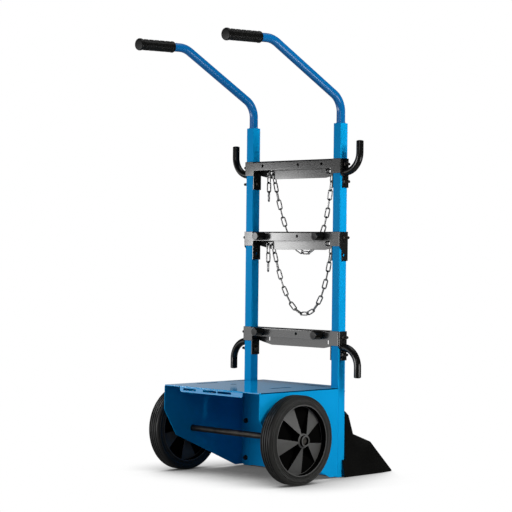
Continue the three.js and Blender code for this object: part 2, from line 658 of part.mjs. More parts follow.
// A wing stands upright, flares below its bend and ends in a narrow foot.
function toeWingSolid(side) {
  const slope = Math.tan(THREE.MathUtils.degToRad(TOE_FLARE));
  const [bendY, bendZ] = TOE_WING[TOE_WING.length - 1];
  const [[, rearSpread], [, frontSpread]] = toeSpreads();
  const shape = polygon([[TOE_BACK_Y, TOE_BEND_HEIGHT], [TOE_BACK_Y, TOE_BACK_HEIGHT], ...TOE_WING].reverse());
  const [from, to] = side > 0 ? [OUTER_X - SHEET, OUTER_X] : [-OUTER_X, SHEET - OUTER_X];
  const turned = (corners) => (side > 0 ? [...corners].reverse() : corners);
  const section = (y, spread, topSpread, top) => turned([
    [side * (spread - SHEET), y, 0], [side * spread, y, 0],
    [side * topSpread, y, top], [side * (topSpread - SHEET), y, top],
  ]);
  const fold = (y, spread, rise) => {
    const top = SHEET + rise;
    const inside = spread - TOE_WING_FOOT;
    return turned([
      [side * inside, y, 0], [side * (spread - SHEET / 2), y, 0],
      [side * (spread - SHEET / 2 - top * slope), y, top], [side * inside, y, SHEET],
    ]);
  };
  const rear = section(TOE_BACK_Y, rearSpread, OUTER_X, TOE_BEND_HEIGHT);
  const middle = section(bendY, frontSpread, OUTER_X, bendZ);
  const tip = section(TOE_REACH, OUTER_X, OUTER_X, SHEET);
  const [tailY, tailTop] = TOE_WING_TAIL;
  const tail = section(tailY, rearSpread, rearSpread - tailTop * slope, tailTop);
  const tailRoot = section(TOE_BACK_Y + SHEET, rearSpread, rearSpread - tailTop * slope, tailTop);
  const middleFold = fold(bendY, frontSpread, TOE_BEND_RADIUS);
  return joined([
    plateSolid("x", shape, from, to),
    hexahedron(rear, middle),
    hexahedron(middle, tip),
    hexahedron(tail, tailRoot),
    hexahedron(fold(TOE_BACK_Y, rearSpread, TOE_BEND_RADIUS), middleFold),
    hexahedron(middleFold, fold(TOE_REACH, OUTER_X, 0)),
  ]);
}

// Brackets: an inverted channel between two collars that hold the uprights

function mirrored(points) {
  return [...points, ...points.map(([x, z]) => [-x, z]).reverse()];
}

function bracketSolid(top) {
  const rearLeg = polygon(mirrored([
    [COLLAR_OUTER_X, 0], [COLLAR_OUTER_X, -BRACKET_TAB], [COLLAR_INNER_X - BRACKET_TAB_INSET, -BRACKET_TAB],
    [COLLAR_INNER_X - BRACKET_TAB_INSET - BRACKET_TAB_SLOPE, -BRACKET_REAR_LEG],
  ]));
  const frontLeg = polygon(mirrored([
    [COLLAR_OUTER_X, 0], [COLLAR_OUTER_X, -COLLAR_HEIGHT], [COLLAR_INNER_X, -COLLAR_HEIGHT],
    [COLLAR_INNER_X, -BRACKET_FRONT_END], [COLLAR_INNER_X - BRACKET_FRONT_TAPER, -BRACKET_FRONT_LEG],
  ]));
  const slotMiddle = -BRACKET_FRONT_LEG + CHAIN_SLOT_FOOT + CHAIN_SLOT_HEIGHT / 2;
  [-CHAIN_LEFT, CHAIN_RIGHT].forEach((x) => {
    frontLeg.holes.push(roundedRect(CHAIN_SLOT_WIDTH, CHAIN_SLOT_HEIGHT, CHAIN_SLOT_CORNER, x, slotMiddle));
  });
  const depth = [-COLLAR_OUT, COLLAR_OUT];
  const height = [-COLLAR_HEIGHT, 0];
  const outerPlate = polygon([
    [COLLAR_OUT, 0], [-COLLAR_OUT, 0], [-COLLAR_OUT, -COLLAR_NOTCH_TOP],
    [-COLLAR_NOTCH_BACK, -COLLAR_NOTCH_FOOT], [-COLLAR_NOTCH_BACK, -COLLAR_HEIGHT],
    [COLLAR_OUT, -COLLAR_HEIGHT],
  ]);
  const pieces = [
    plateSolid("y", rearLeg, -COLLAR_OUT, -COLLAR_IN),
    plateSolid("y", frontLeg, COLLAR_IN, COLLAR_OUT),
    boxSolid([-COLLAR_INNER_X, COLLAR_INNER_X], depth, [-SHEET, 0]),
  ];
  const cutters = [];
  [-1, 1].forEach((side) => {
    const across = (near, far) => (side > 0 ? [near, far] : [-far, -near]);
    pieces.push(boxSolid(across(COLLAR_INNER_X, COLLAR_INNER_X + SHEET), depth, height));
    pieces.push(plateSolid("x", outerPlate, ...across(COLLAR_OUTER_X - SHEET, COLLAR_OUTER_X)));
    COLLAR_BOLT_DROPS.forEach((drop) => {
      cutters.push(rodSolid("x", BOLT_HOLE, -UPRIGHT_SIZE, UPRIGHT_SIZE, [side * UPRIGHT_X, 0, -drop],
        BOLT_SIDES));
    });
  });
  [-PEG_OFFSET, BRACKET_HOLE_OFFSET, PEG_OFFSET].forEach((x) => {
    cutters.push(rodSolid("y", BRACKET_HOLE, -COLLAR_OUT - SHEET, 0, [x, 0, -PEG_DROP], BOLT_SIDES));
  });
  return cutBy(joined(pieces), cutters).translate([0, 0, top]);
}

// A through bolt from its head to a nut, with its end standing proud. It runs along +X from the head.
function collarBoltSolid() {
  const head = -COLLAR_OUT - FIT_GAP;
  const nut = COLLAR_OUT + FIT_GAP;
  return joined([
    hexSolid("x", head - BOLT_HEAD, head),
    rodSolid("x", BOLT_DIAMETER, head - SHANK_OVERLAP, FACE + COLLAR_BOLT_PROUD, [0, 0, 0], BOLT_SIDES),
    hexSolid("x", nut, nut + NUT_HEIGHT),
  ]);
}

// A frame bolt runs along +Y from its head on the side panel's flange to its nut in front.
function frameBoltSolid(height) {
  const head = -(FACE + FIT_GAP + PANEL_SHEET + FIT_GAP);
  const holdsToePlate = height < TOE_BACK_HEIGHT;
  const nut = FACE + FIT_GAP + (holdsToePlate ? SHEET + FIT_GAP : 0);
  return joined([
    hexSolid("y", head - BOLT_HEAD, head),
    rodSolid("y", BOLT_DIAMETER, head - SHANK_OVERLAP, nut + FRAME_BOLT_PROUD, [0, 0, 0], BOLT_SIDES),
    hexSolid("y", nut, nut + NUT_HEIGHT),
  ]);
}

// A cable hook grows out of the collar and turns up or down.
function hookGeometry(turn) {
  const root = new THREE.Vector3(0, 0, 0);
  const corner = new THREE.Vector3(HOOK_REACH, 0, 0);
  const end = new THREE.Vector3(HOOK_REACH, 0, turn);
  const route = new BentRoute([root, corner, end], [HOOK_BEND], HOOK_BEND_STEPS);
  return sweptGeometry(circleShape(HOOK_DIAMETER, SMALL_ROUND_SIDES), route);
}

// A peg points to the operator, with its stud through the bracket's rear leg.
function pegSolid() {
  const radius = PEG_DIAMETER / 2;
  const profile = [
    [0, 0], [radius, 0], [radius, PEG_LENGTH - PEG_CHAMFER],
    [radius - PEG_CHAMFER, PEG_LENGTH], [0, PEG_LENGTH],
  ];
  const body = new THREE.LatheGeometry(profile.map(([r, y]) => new THREE.Vector2(r, y)), ROUND_SIDES);
  body.rotateX(Math.PI);
  const stud = rodSolid("y", BOLT_DIAMETER, -SHANK_OVERLAP, SHEET + NUT_HEIGHT, [0, 0, 0], BOLT_SIDES);
  return toSolid(body).add(stud);
}

// Chains

const RIGHT_ANGLE = 90; // degrees
const LINK_INNER = LINK_PITCH - LINK_BITE;
const LINK_ARC = (LINK_WIDTH - LINK_WIRE) / 2;
const ANCHOR_HEIGHT = -BRACKET_FRONT_LEG + CHAIN_SLOT_FOOT + LINK_WIDTH / 2 + FIT_GAP;
const ANCHOR_Y = (COLLAR_IN + COLLAR_OUT) / 2;
const ANCHOR_REACH = LINK_PITCH / 2 - LINK_ARC + LINK_WIRE / 2;
const HANG_HEIGHT = ANCHOR_HEIGHT - LINK_WIDTH / 2 + LINK_WIRE / 2; // middle of the anchor's lower wire
const HANG_LIFT = LINK_WIRE / 2 + CHAIN_PLAY;

// One oval link in the xy plane, long along x.
function linkGeometry(innerLength) {
  const geometry = new THREE.TorusGeometry(LINK_ARC, LINK_WIRE / 2, LINK_SIDES, LINK_STEPS);
  geometry.rotateZ(Math.PI / LINK_STEPS);
  const position = geometry.attributes.position;
  const shift = innerLength / 2 + LINK_WIRE / 2 - LINK_ARC;
  for (let vertex = 0; vertex < position.count; vertex += 1) {
    const x = position.getX(vertex);
    position.setX(vertex, x + Math.sign(x) * shift);
  }
  return geometry;
}

// The catenary of a chain of this length over a level span, by distance from its left end.
function catenary(span, length) {
  let low = span / SEARCH_REACH;
  let high = span * SEARCH_REACH;
  for (let round = 0; round < SEARCH_ROUNDS; round += 1) {
    const scale = (low + high) / 2;
    if (2 * scale * Math.sinh(span / (2 * scale)) > length) {
      low = scale;
    } else {
      high = scale;
    }
  }
  const scale = (low + high) / 2;
  const ends = scale * Math.cosh(span / (2 * scale));
  return (distance) => {
    const x = scale * Math.asinh((distance - length / 2) / scale);
    return new THREE.Vector3(x, 0, scale * Math.cosh(x / scale) - ends);
  };
}

// Links along a curve in the xz plane, every second one turned about the run. The run twists away from
// a held end, and a chain held at both ends twists back.
function chainSolid(count, pointAt, heldEnds) {
  const links = [];
  for (let link = 0; link < count; link += 1) {
    const start = pointAt(link * LINK_PITCH);
    const end = pointAt((link + 1) * LINK_PITCH);
    const along = end.clone().sub(start).normalize();
    const depth = new THREE.Vector3(0, 1, 0);
    const across = depth.clone().cross(along);
    const fromEnd = heldEnds === 1 ? link : Math.min(link, count - 1 - link);
    const twist = Math.min(fromEnd * LINK_TWIST, LINK_TWIST_TOP);
    const roll = THREE.MathUtils.degToRad(twist + (link % 2) * RIGHT_ANGLE);
    const sideways = across.clone().multiplyScalar(Math.cos(roll)).addScaledVector(depth, Math.sin(roll));
    const normal = along.clone().cross(sideways);
    const matrix = new THREE.Matrix4().makeBasis(along, sideways, normal);
    matrix.setPosition(start.add(end).multiplyScalar(0.5));
    links.push(toSolid(linkGeometry(LINK_INNER).applyMatrix4(matrix)));
  }
  return joined(links);
}

function placeChain(bracketName) {
  const top = BRACKET_TOPS[bracketName];
  const span = CHAIN_LEFT + CHAIN_RIGHT;
  const count = CHAIN_LINKS[bracketName];
  Object.entries({ left: -CHAIN_LEFT, right: CHAIN_RIGHT }).forEach(([sideName, x]) => {
    const anchor = linkGeometry(LINK_PITCH);
    anchor.rotateY(Math.PI / 2);
    anchor.rotateX(Math.PI / 2);
    const mesh = place(`chain_anchor_${bracketName}_${sideName}`, toGeometry(toSolid(anchor)), "zinc");
    mesh.position.set(x, ANCHOR_Y, top + ANCHOR_HEIGHT);
  });
  const curve = catenary(span, count * LINK_PITCH - 2 * HANG_LIFT);
  const loop = chainSolid(count, (distance) => curve(distance - HANG_LIFT), 2);
  const loopMesh = place(`chain_loop_${bracketName}`, toGeometry(loop), "zinc");
  loopMesh.position.set((CHAIN_RIGHT - CHAIN_LEFT) / 2, ANCHOR_Y + ANCHOR_REACH, top + HANG_HEIGHT);
  loopMesh.rotation.x = THREE.MathUtils.degToRad(CHAIN_LEAN);
  const tail = chainSolid(TAIL_LINKS, (distance) => new THREE.Vector3(0, 0, HANG_LIFT - distance), 1);
  const tailMesh = place(`chain_tail_${bracketName}`, toGeometry(tail), "zinc");
  tailMesh.position.set(-CHAIN_LEFT, ANCHOR_Y - ANCHOR_REACH, top + HANG_HEIGHT);
}

// Assembly

Object.entries(SIDES).forEach(([sideName, side]) => {
  place(`upright_${sideName}`, toGeometry(uprightSolid(side)), "bluePaint");
  const handle = place(`handle_${sideName}`, handleGeometry(), "bluePaint");
  handle.position.x = side * UPRIGHT_X;
  const grip = place(`grip_${sideName}`, gripGeometry(), "rubber");
  const mouth = GRIP_LENGTH - GRIP_END_WALL - FIT_GAP;
  grip.position.copy(HANDLE_END).addScaledVector(HANDLE_END_DIRECTION, -mouth);
  grip.position.x = side * UPRIGHT_X;
  grip.quaternion.setFromUnitVectors(new THREE.Vector3(0, 0, 1), HANDLE_END_DIRECTION);
  place(`side_panel_${sideName}`, toGeometry(panelSolid(side)), "bluePaint");
  placeWheel(sideName, side);
  FRAME_BOLT_HEIGHTS.forEach((height, index) => {
    const name = `frame_bolt_${sideName}_${index + 1}`;
    const bolt = place(name, toGeometry(frameBoltSolid(height)), "darkSteel");
    bolt.position.set(side * UPRIGHT_X, 0, height);
  });
});

place("deck", toGeometry(deckSolid()), "bluePaint");
place("bay_wall", toGeometry(bayWallSolid()), "bluePaint");
place("axle", toGeometry(axleSolid()), "darkSteel");
place("toe_plate", toGeometry(toePlateSolid()), "blackPaint");
Object.entries(SIDES).forEach(([sideName, side]) => {
  place(`toe_wing_${sideName}`, toGeometry(toeWingSolid(side)), "blackPaint");
});

Object.entries(BRACKET_TOPS).forEach(([bracketName, top]) => {
  place(`bracket_${bracketName}`, toGeometry(bracketSolid(top)), "blackPaint");
  Object.entries(SIDES).forEach(([sideName, side]) => {
    collarBoltHeights(bracketName).forEach((height, index) => {
      const name = `collar_bolt_${bracketName}_${sideName}_${index + 1}`;
      const bolt = place(name, toGeometry(collarBoltSolid()), "darkSteel");
      bolt.position.set(side * UPRIGHT_X, 0, height);
      bolt.rotation.z = side > 0 ? 0 : Math.PI;
    });
    if (bracketName !== "middle") {
      const isUpper = bracketName === "upper";
      const hook = place(`hook_${bracketName}_${sideName}`,
        hookGeometry(isUpper ? HOOK_UPPER_RISE : -HOOK_LOWER_FALL), "blackPaint");
      const drop = isUpper ? HOOK_UPPER_DROP : HOOK_LOWER_DROP;
      hook.position.set(side * (COLLAR_OUTER_X + FIT_GAP), 0, top - drop);
      hook.rotation.z = side > 0 ? 0 : Math.PI;
    }
    if (bracketName !== "upper") {
      const peg = place(`peg_${bracketName}_${sideName}`, toGeometry(pegSolid()), "blackPaint");
      peg.position.set(side * PEG_OFFSET, -COLLAR_OUT - FIT_GAP, top - PEG_DROP);
    }
  });
  if (bracketName in CHAIN_LINKS) {
    placeChain(bracketName);
  }
});

// The origin is on the floor, under the middle of the whole cart.
cart.updateMatrixWorld(true);
const middle = new THREE.Box3().setFromObject(cart, true).getCenter(new THREE.Vector3());
cart.position.set(-middle.x, -middle.y, 0);
cart.updateMatrixWorld(true);

export default cart;
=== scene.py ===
"""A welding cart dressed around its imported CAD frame: fine meshes, paint, rubber and steel."""

from math import acos, asinh, atan2, copysign, cos, cosh, exp, pi, radians, sin, sinh, tan

import bmesh
import bpy
import numpy as np
from mathutils import Matrix, Vector


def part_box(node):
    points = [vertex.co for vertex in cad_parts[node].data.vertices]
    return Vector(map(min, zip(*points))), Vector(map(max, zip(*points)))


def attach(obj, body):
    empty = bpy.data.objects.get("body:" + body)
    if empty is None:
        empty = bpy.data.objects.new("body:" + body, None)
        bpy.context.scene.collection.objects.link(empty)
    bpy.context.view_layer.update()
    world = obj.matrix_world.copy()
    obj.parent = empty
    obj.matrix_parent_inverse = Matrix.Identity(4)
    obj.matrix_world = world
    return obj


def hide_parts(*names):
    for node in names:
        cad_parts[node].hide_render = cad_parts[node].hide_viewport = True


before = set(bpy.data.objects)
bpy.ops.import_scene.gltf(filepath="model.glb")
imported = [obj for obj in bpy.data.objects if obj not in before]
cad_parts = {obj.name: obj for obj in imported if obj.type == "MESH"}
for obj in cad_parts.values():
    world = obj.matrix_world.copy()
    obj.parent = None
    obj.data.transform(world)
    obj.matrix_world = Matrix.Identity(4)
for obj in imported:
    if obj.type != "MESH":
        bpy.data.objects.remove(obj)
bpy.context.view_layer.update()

MM = 0.001


def node_box(node):
    """A CAD node's low and high corners in millimetres."""
    low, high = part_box(node)
    return np.array(low) / MM, np.array(high) / MM


# Where the CAD stands: the right upright's middle gives the depth that the sizes are measured from

RIGHT_LOW, RIGHT_HIGH = node_box("upright_right")
ORIGIN_Y = (RIGHT_LOW[1] + RIGHT_HIGH[1]) / 2
UPRIGHT_X = (RIGHT_LOW[0] + RIGHT_HIGH[0]) / 2
UPRIGHT_SIZE = RIGHT_HIGH[0] - RIGHT_LOW[0]
UPRIGHT_HEIGHT = RIGHT_HIGH[2]
SIDES = {"left": -1, "right": 1}

# Sizes in millimetres that several pieces share, as in the part

FIT_GAP = 0.3
SHEET = 3.0
FACE = UPRIGHT_SIZE / 2
OUTER_X = UPRIGHT_X + FACE
INNER_X = UPRIGHT_X - FACE
COLLAR_IN = FACE + FIT_GAP
COLLAR_OUT = COLLAR_IN + SHEET
COLLAR_INNER_X = UPRIGHT_X - COLLAR_OUT
COLLAR_OUTER_X = UPRIGHT_X + COLLAR_OUT
BEND = 4.0
BRACKETS = {name: node_box(f"bracket_{name}")[1][2] for name in ("upper", "middle", "lower")}
DECK_HEIGHT = node_box("deck")[1][2]
DECK_REAR = 334.0
DECK_FRONT = 38.0
PANEL_SHEET = 2.5
PANEL_OUTER_X = OUTER_X + PANEL_SHEET
AXLE_BACK = 222.0
AXLE_HEIGHT = 125.0
AXLE_RADIUS = 9.0
TYRE_WIDTH = 44.0
WHEEL_GAP = 12.5
WHEEL_X = PANEL_OUTER_X + WHEEL_GAP + TYRE_WIDTH / 2
RIM_RECESS = 18.0
FRONT_LEG = 53.0
PEG_OFFSET = 122.0
PEG_DROP = 13.5
BOLT_HOLE_RADIUS = 4.3
COLLAR_BOLT_DROPS = (17.0, 67.0)
FRAME_BOLT_HEIGHTS = (23.0, 135.0, DECK_HEIGHT - 12.0)
CHAIN_LEFT = 118.0
CHAIN_RIGHT = 124.0
CHAIN_SLOT_RISE = 11.0
AXIS_RADIUS = 0.02  # where a turned shape closes on its axis


def at(points):
    """Part millimetres to scene metres."""
    points = np.asarray(points, float).reshape(-1, 3)
    return (points + np.array([0.0, ORIGIN_Y, 0.0])) * MM


def grey(level):
    return level, level, level


def unit(vector):
    return vector / np.linalg.norm(vector)


def placed(name, data):
    """A new object in the scene."""
    item = bpy.data.objects.new(name, data)
    bpy.context.scene.collection.objects.link(item)
    return item


# Materials

MIX_FIRST, MIX_SECOND, MIX_RESULT = 6, 7, 2  # the colour sockets of a mix node
RELIEF_HEIGHT = 0.0004
STEEP_NORMAL = 0.6
RADIAL_NORMAL = 0.4
# Painted shade: near black on the deck's cut edges, with part of their gloss taken off
EDGE_SHADE_COLOUR = (0.002, 0.006, 0.014)
EDGE_SHADE_DULLING = 0.45
# Painted shade: near black in the rim's pockets and on the walls round them
POCKET_SHADE_COLOUR = grey(0.002)


class Nodes:
    """A small helper over a node tree. Inputs take other nodes' sockets or plain values."""

    def __init__(self, tree):
        self.tree = tree

    def feed(self, socket, value):
        if isinstance(value, bpy.types.NodeSocket):
            self.tree.links.new(value, socket)
        else:
            socket.default_value = value

    def add(self, kind, **inputs):
        node = self.tree.nodes.new(kind)
        for key, value in inputs.items():
            if hasattr(node, key):
                setattr(node, key, value)
            else:
                self.feed(node.inputs[key.replace("_", " ")], value)
        return node

    def math(self, operation, *values):
        node = self.add("ShaderNodeMath", operation=operation)
        for socket, value in zip(node.inputs, values):
            self.feed(socket, value)
        return node.outputs["Value"]

    def remap(self, source, low, high, at_low, at_high):
        """The source's range from low to high, spread between two other values."""
        node = self.add("ShaderNodeMapRange", Value=source, From_Min=low, From_Max=high, To_Min=at_low,
                        To_Max=at_high)
        return node.outputs["Result"]

    def ramp(self, source, stops):
        node = self.add("ShaderNodeValToRGB", Fac=source)
        elements = node.color_ramp.elements
        while len(elements) < len(stops):
            elements.new(0.5)
        for element, (place, colour) in zip(elements, stops):
            element.position = place
            element.color = (*colour, 1.0)
        return node.outputs["Color"]

    def mix(self, factor, first, second):
        node = self.add("ShaderNodeMix", data_type="RGBA", Factor=factor)
        self.feed(node.inputs[MIX_FIRST], first)
        self.feed(node.inputs[MIX_SECOND], second)
        return node.outputs[MIX_RESULT]


def node_material(name):
    """A new material with its node tree and its shader."""
    material = bpy.data.materials.new(name)
    material.use_nodes = True
    return material, Nodes(material.node_tree), material.node_tree.nodes["Principled BSDF"]


def finish_material(name, dark, light, rough, metallic, specular, grain, bump, mottling):
    """A procedural finish: mottled colour, uneven roughness and a fine grain in relief."""
    material, nodes, shader = node_material(name)
    place = nodes.add("ShaderNodeTexCoord").outputs["Object"]
    broad = nodes.add("ShaderNodeTexNoise", Vector=place, Scale=mottling, Detail=4.0, Roughness=0.55)
    fine = nodes.add("ShaderNodeTexNoise", Vector=place, Scale=grain, Detail=3.0, Roughness=0.6)
    relief = nodes.add("ShaderNodeBump", Height=fine.outputs["Fac"], Strength=bump, Distance=RELIEF_HEIGHT)
    for socket, value in (
            ("Metallic", metallic), ("Specular IOR Level", specular), ("Normal", relief.outputs["Normal"]),
            ("Base Color", nodes.ramp(broad.outputs["Fac"], [(0.3, dark), (0.7, light)])),
            ("Roughness", nodes.remap(broad.outputs["Fac"], 0.25, 0.75, *rough))):
        nodes.feed(shader.inputs[socket], value)
    return material


FINISHES = {name: finish_material(name, *look) for name, *look in (
    # dark, light, roughness, metallic, specular, grain, bump, mottling
    ("blue_paint", (0.001, 0.225, 0.52), (0.002, 0.245, 0.56), (0.40, 0.50), 0.0, 0.03, 260.0, 0.03, 9.0),
    # The handles' copy of the blue paint, darker for painted shade on the tubes, with more gloss
    ("shaded_tube_blue_paint", (0.001, 0.098, 0.30), (0.002, 0.108, 0.33), (0.27, 0.31),
     0.0, 0.5, 30.0, 0.0005, 4.0),
    ("deck_blue_paint", (0.001, 0.255, 0.58), (0.002, 0.280, 0.62), (0.07, 0.11),
     0.0, 0.9, 120.0, 0.008, 9.0),
    ("black_paint", grey(0.006), grey(0.009), (0.18, 0.25), 0.0, 0.9, 300.0, 0.02, 9.0),
    ("dull_black_paint", grey(0.003), grey(0.005), (0.13, 0.18), 0.0, 0.3, 300.0, 0.02, 9.0),
    ("tyre_rubber", grey(0.009), grey(0.014), (0.40, 0.52), 0.0, 0.4, 900.0, 0.25, 30.0),
    ("grip_rubber", grey(0.003), grey(0.005), (0.40, 0.46), 0.0, 0.3, 500.0, 0.03, 20.0),
    ("rim_plastic", (0.050, 0.050, 0.052), (0.062, 0.062, 0.064), (0.42, 0.52),
     0.0, 0.45, 1300.0, 0.16, 24.0),
    ("bush_nylon", (0.016, 0.016, 0.017), (0.022, 0.022, 0.023), (0.45, 0.55), 0.0, 0.5, 900.0, 0.1, 9.0),
    ("dark_steel", (0.040, 0.037, 0.034), (0.075, 0.069, 0.063), (0.32, 0.46), 0.9, 0.5, 700.0, 0.12, 60.0),
    ("zinc_steel", grey(0.13), grey(0.24), (0.16, 0.28), 1.0, 0.5, 500.0, 0.12, 120.0),
)}


class Mask:
    """Tests on places and normals, multiplied or joined, that mix a dark colour into a material."""

    def __init__(self, material):
        self.nodes = Nodes(material.node_tree)
        self.math = self.nodes.math
        self.shader = material.node_tree.nodes["Principled BSDF"]
        geometry = self.nodes.add("ShaderNodeNewGeometry")
        self.place = self.parts(geometry.outputs["Position"])
        self.normal = self.parts(geometry.outputs["True Normal"])

    def parts(self, vector):
        return self.nodes.add("ShaderNodeSeparateXYZ", Vector=vector).outputs

    def mix_in(self, mask, colour):
        """Puts the colour, without gloss, where the mask is 1."""
        paint, gloss = self.shader.inputs["Base Color"], self.shader.inputs["Specular IOR Level"]
        self.nodes.feed(paint, self.nodes.mix(mask, paint.links[0].from_socket, (*colour, 1.0)))
        bare = self.math("SUBTRACT", 1.0, mask)
        self.nodes.feed(gloss, self.math("MULTIPLY", bare, gloss.default_value))

    def soften(self, mask):
        """Takes the mask's share off a gloss that is worked out already."""
        gloss = self.shader.inputs["Specular IOR Level"]
        bare = self.math("SUBTRACT", 1.0, mask)
        self.nodes.feed(gloss, self.math("MULTIPLY", gloss.links[0].from_socket, bare))


def paint_deck_edge_shade(material):
    """Painted shade on the deck's cut edges: upright faces above the sheet's underside, in front of the
    rear bend, get a near-black colour and less gloss.
    """
    mask = Mask(material)
    under, bend = DECK_HEIGHT - SHEET - 0.1, ORIGIN_Y - DECK_REAR + 6.0
    steep = mask.math("LESS_THAN", mask.math("ABSOLUTE", mask.normal["Z"]), STEEP_NORMAL)
    high = mask.math("GREATER_THAN", mask.place["Z"], float(under * MM))
    ahead = mask.math("GREATER_THAN", mask.place["Y"], float(bend * MM))
    edges = mask.math("MULTIPLY", mask.math("MULTIPLY", steep, high), ahead)
    mask.mix_in(edges, EDGE_SHADE_COLOUR)
    mask.soften(mask.math("MULTIPLY", steep, EDGE_SHADE_DULLING))


def paint_pocket_shade(material):
    """Painted shade: the rim's pockets and the walls round them are painted near black, the spokes' faces
    are not.
    """
    mask = Mask(material)
    from_middle = mask.math("SUBTRACT", mask.math("ABSOLUTE", mask.place["X"]), float(WHEEL_X * MM))
    floor = TYRE_WIDTH / 2 - RIM_RECESS - 1.2
    deep = mask.math("LESS_THAN", mask.math("ABSOLUTE", from_middle), float(floor * MM))
    radial = mask.math("LESS_THAN", mask.math("ABSOLUTE", mask.normal["X"]), RADIAL_NORMAL)
    mask.mix_in(mask.math("MAXIMUM", deep, radial), POCKET_SHADE_COLOUR)


# Painted shade on the deck's cut edges
paint_deck_edge_shade(FINISHES["deck_blue_paint"])
# Painted shade in the rim's pockets
paint_pocket_shade(FINISHES["rim_plastic"])

# Mesh tools. Shapes are (vertices, faces) in millimetres.

SMOOTH_ANGLE = radians(35.0)
BEVEL_ANGLE = radians(30.0)
FOLD_STEPS = 6
DOME_STEPS = 5
ARC_STEPS = 18
LONGEST_STEP = 40.0
TO_FRONT = Matrix.Rotation(radians(90), 4, "Z")
TO_REAR = Matrix.Rotation(radians(-90), 4, "Z")


def merged(shapes):
    vertices, faces, offset = [], [], 0
    for points, polygons in shapes:
        points = np.asarray(points, float).reshape(-1, 3)
        vertices.append(points)
        faces.extend([[index + offset for index in polygon] for polygon in polygons])
        offset += len(points)
    return np.concatenate(vertices), faces


def moved(shape, offset=(0, 0, 0), turn=None):
    points = np.asarray(shape[0], float)
    if turn is not None:
        points = points @ np.array(turn.to_3x3()).T
    return points + np.array(offset, float), shape[1]


def on_side(shape, side):
    """A shape made for the right side, mirrored for the left one."""
    if side > 0:
        return shape
    points = np.asarray(shape[0], float) * np.array([-1.0, 1.0, 1.0])
    return points, [list(reversed(polygon)) for polygon in shape[1]]


def piece(node, kind, shape, slot, body="frame", finish=None, bevel=0.0):
    """A finished object in a node's place: welded, turned outwards, smooth below the angle."""
    name = f"{node}_{kind}"
    points, faces = shape
    mesh = bpy.data.meshes.new(name)
    build = bmesh.new()
    corners = [build.verts.new(point) for point in points]
    for polygon in faces:
        try:
            build.faces.new([corners[index] for index in polygon])
        except ValueError:
            continue
    bmesh.ops.remove_doubles(build, verts=build.verts, dist=0.002)
    bmesh.ops.dissolve_degenerate(build, edges=build.edges, dist=0.001)
    bmesh.ops.recalc_face_normals(build, faces=build.faces)
    for vertex in build.verts:
        vertex.co = Vector(at(vertex.co)[0])
    for face in build.faces:
        face.smooth = True
    build.to_mesh(mesh)
    build.free()
    mesh.set_sharp_from_angle(angle=SMOOTH_ANGLE)
    mesh.materials.append(FINISHES[finish or slot])
    item = placed(name, mesh)
    if bevel:
        edge = item.modifiers.new("edge", "BEVEL")
        edge.width = bevel * MM
        edge.segments = 2
        edge.limit_method = "ANGLE"
        edge.angle_limit = BEVEL_ANGLE
        edge.harden_normals = True
    shade = item.modifiers.new("shade", "WEIGHTED_NORMAL")
    shade.keep_sharp = True
    shade.weight = 80
    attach(item, body)
    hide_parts(node)


def ring_faces(rows, sides, closed=False, capped=False):
    """Quads between rings of points, closed back to the first ring or capped at both ends."""
    faces = []
    for row in range(rows if closed else rows - 1):
        following = (row + 1) % rows
        for k in range(sides):
            turn = (k + 1) % sides
            near, far = row * sides, following * sides
            faces.append([near + k, near + turn, far + turn, far + k])
    if capped:
        faces.append(list(reversed(range(sides))))
        faces.append(list(range((rows - 1) * sides, rows * sides)))
    return faces


def lathe(profile, sides, closed=True):
    """A ring about the x axis from (x, radius) points. Points on the axis close the ends."""
    angles = [2 * pi * side / sides for side in range(sides)]
    points = [(x, r * cos(a), r * sin(a)) for x, r in profile for a in angles]
    return np.array(points), ring_faces(len(profile), sides, closed)


def rectangle(half_width, half_height, u=0.0, v=0.0):
    return [(u - half_width, v - half_height), (u + half_width, v - half_height),
            (u + half_width, v + half_height), (u - half_width, v + half_height)]


def rounded_profile(profile, radius, steps):
    """Rounds the corners of a closed list of 2-D points, with one radius or one for each corner."""
    result = []
    count = len(profile)
    for index, corner in enumerate(profile):
        corner = np.array(corner, float)
        r = radius[index] if hasattr(radius, "__len__") else radius
        before = np.array(profile[index - 1], float) - corner
        after = np.array(profile[(index + 1) % count], float) - corner
        room = min(np.linalg.norm(before), np.linalg.norm(after))
        if r <= 0 or room < 1e-9:
            result.append(tuple(corner))
            continue
        u, v = unit(before), unit(after)
        angle = acos(max(-1.0, min(1.0, float(u @ v))))
        if angle > pi - 0.02:
            result.append(tuple(corner))
            continue
        cut = min(r / tan(angle / 2), 0.49 * room)
        r = cut * tan(angle / 2)
        centre = corner + unit(u + v) * (r / sin(angle / 2))
        first = corner + u * cut - centre
        last = corner + v * cut - centre
        start = atan2(first[1], first[0])
        swing = (atan2(last[1], last[0]) - start + pi) % (2 * pi) - pi
        for step in range(steps + 1):
            a = start + swing * step / steps
            result.append((centre[0] + r * cos(a), centre[1] + r * sin(a)))
    return result


def turned_ring(low, high, bore, radius, edge, steps, sides):
    """A plain ring about the x axis with rounded edges."""
    corners = [(low, bore), (low, radius), (high, radius), (high, bore)]
    return lathe(rounded_profile(corners, edge, steps), sides)


def circle(u, v, radius, steps=28):
    return [(u + radius * cos(2 * pi * k / steps), v + radius * sin(2 * pi * k / steps))
            for k in range(steps)]


def ring_about(centre, side, up, radius, sides):
    return [centre + (side * u + up * v) * radius for u, v in circle(0, 0, 1.0, sides)]


def slot_outline(u, v, width, height, steps=8):
    return rounded_profile(rectangle(width / 2, height / 2, u, v), min(width, height) / 2 * 0.98, steps)


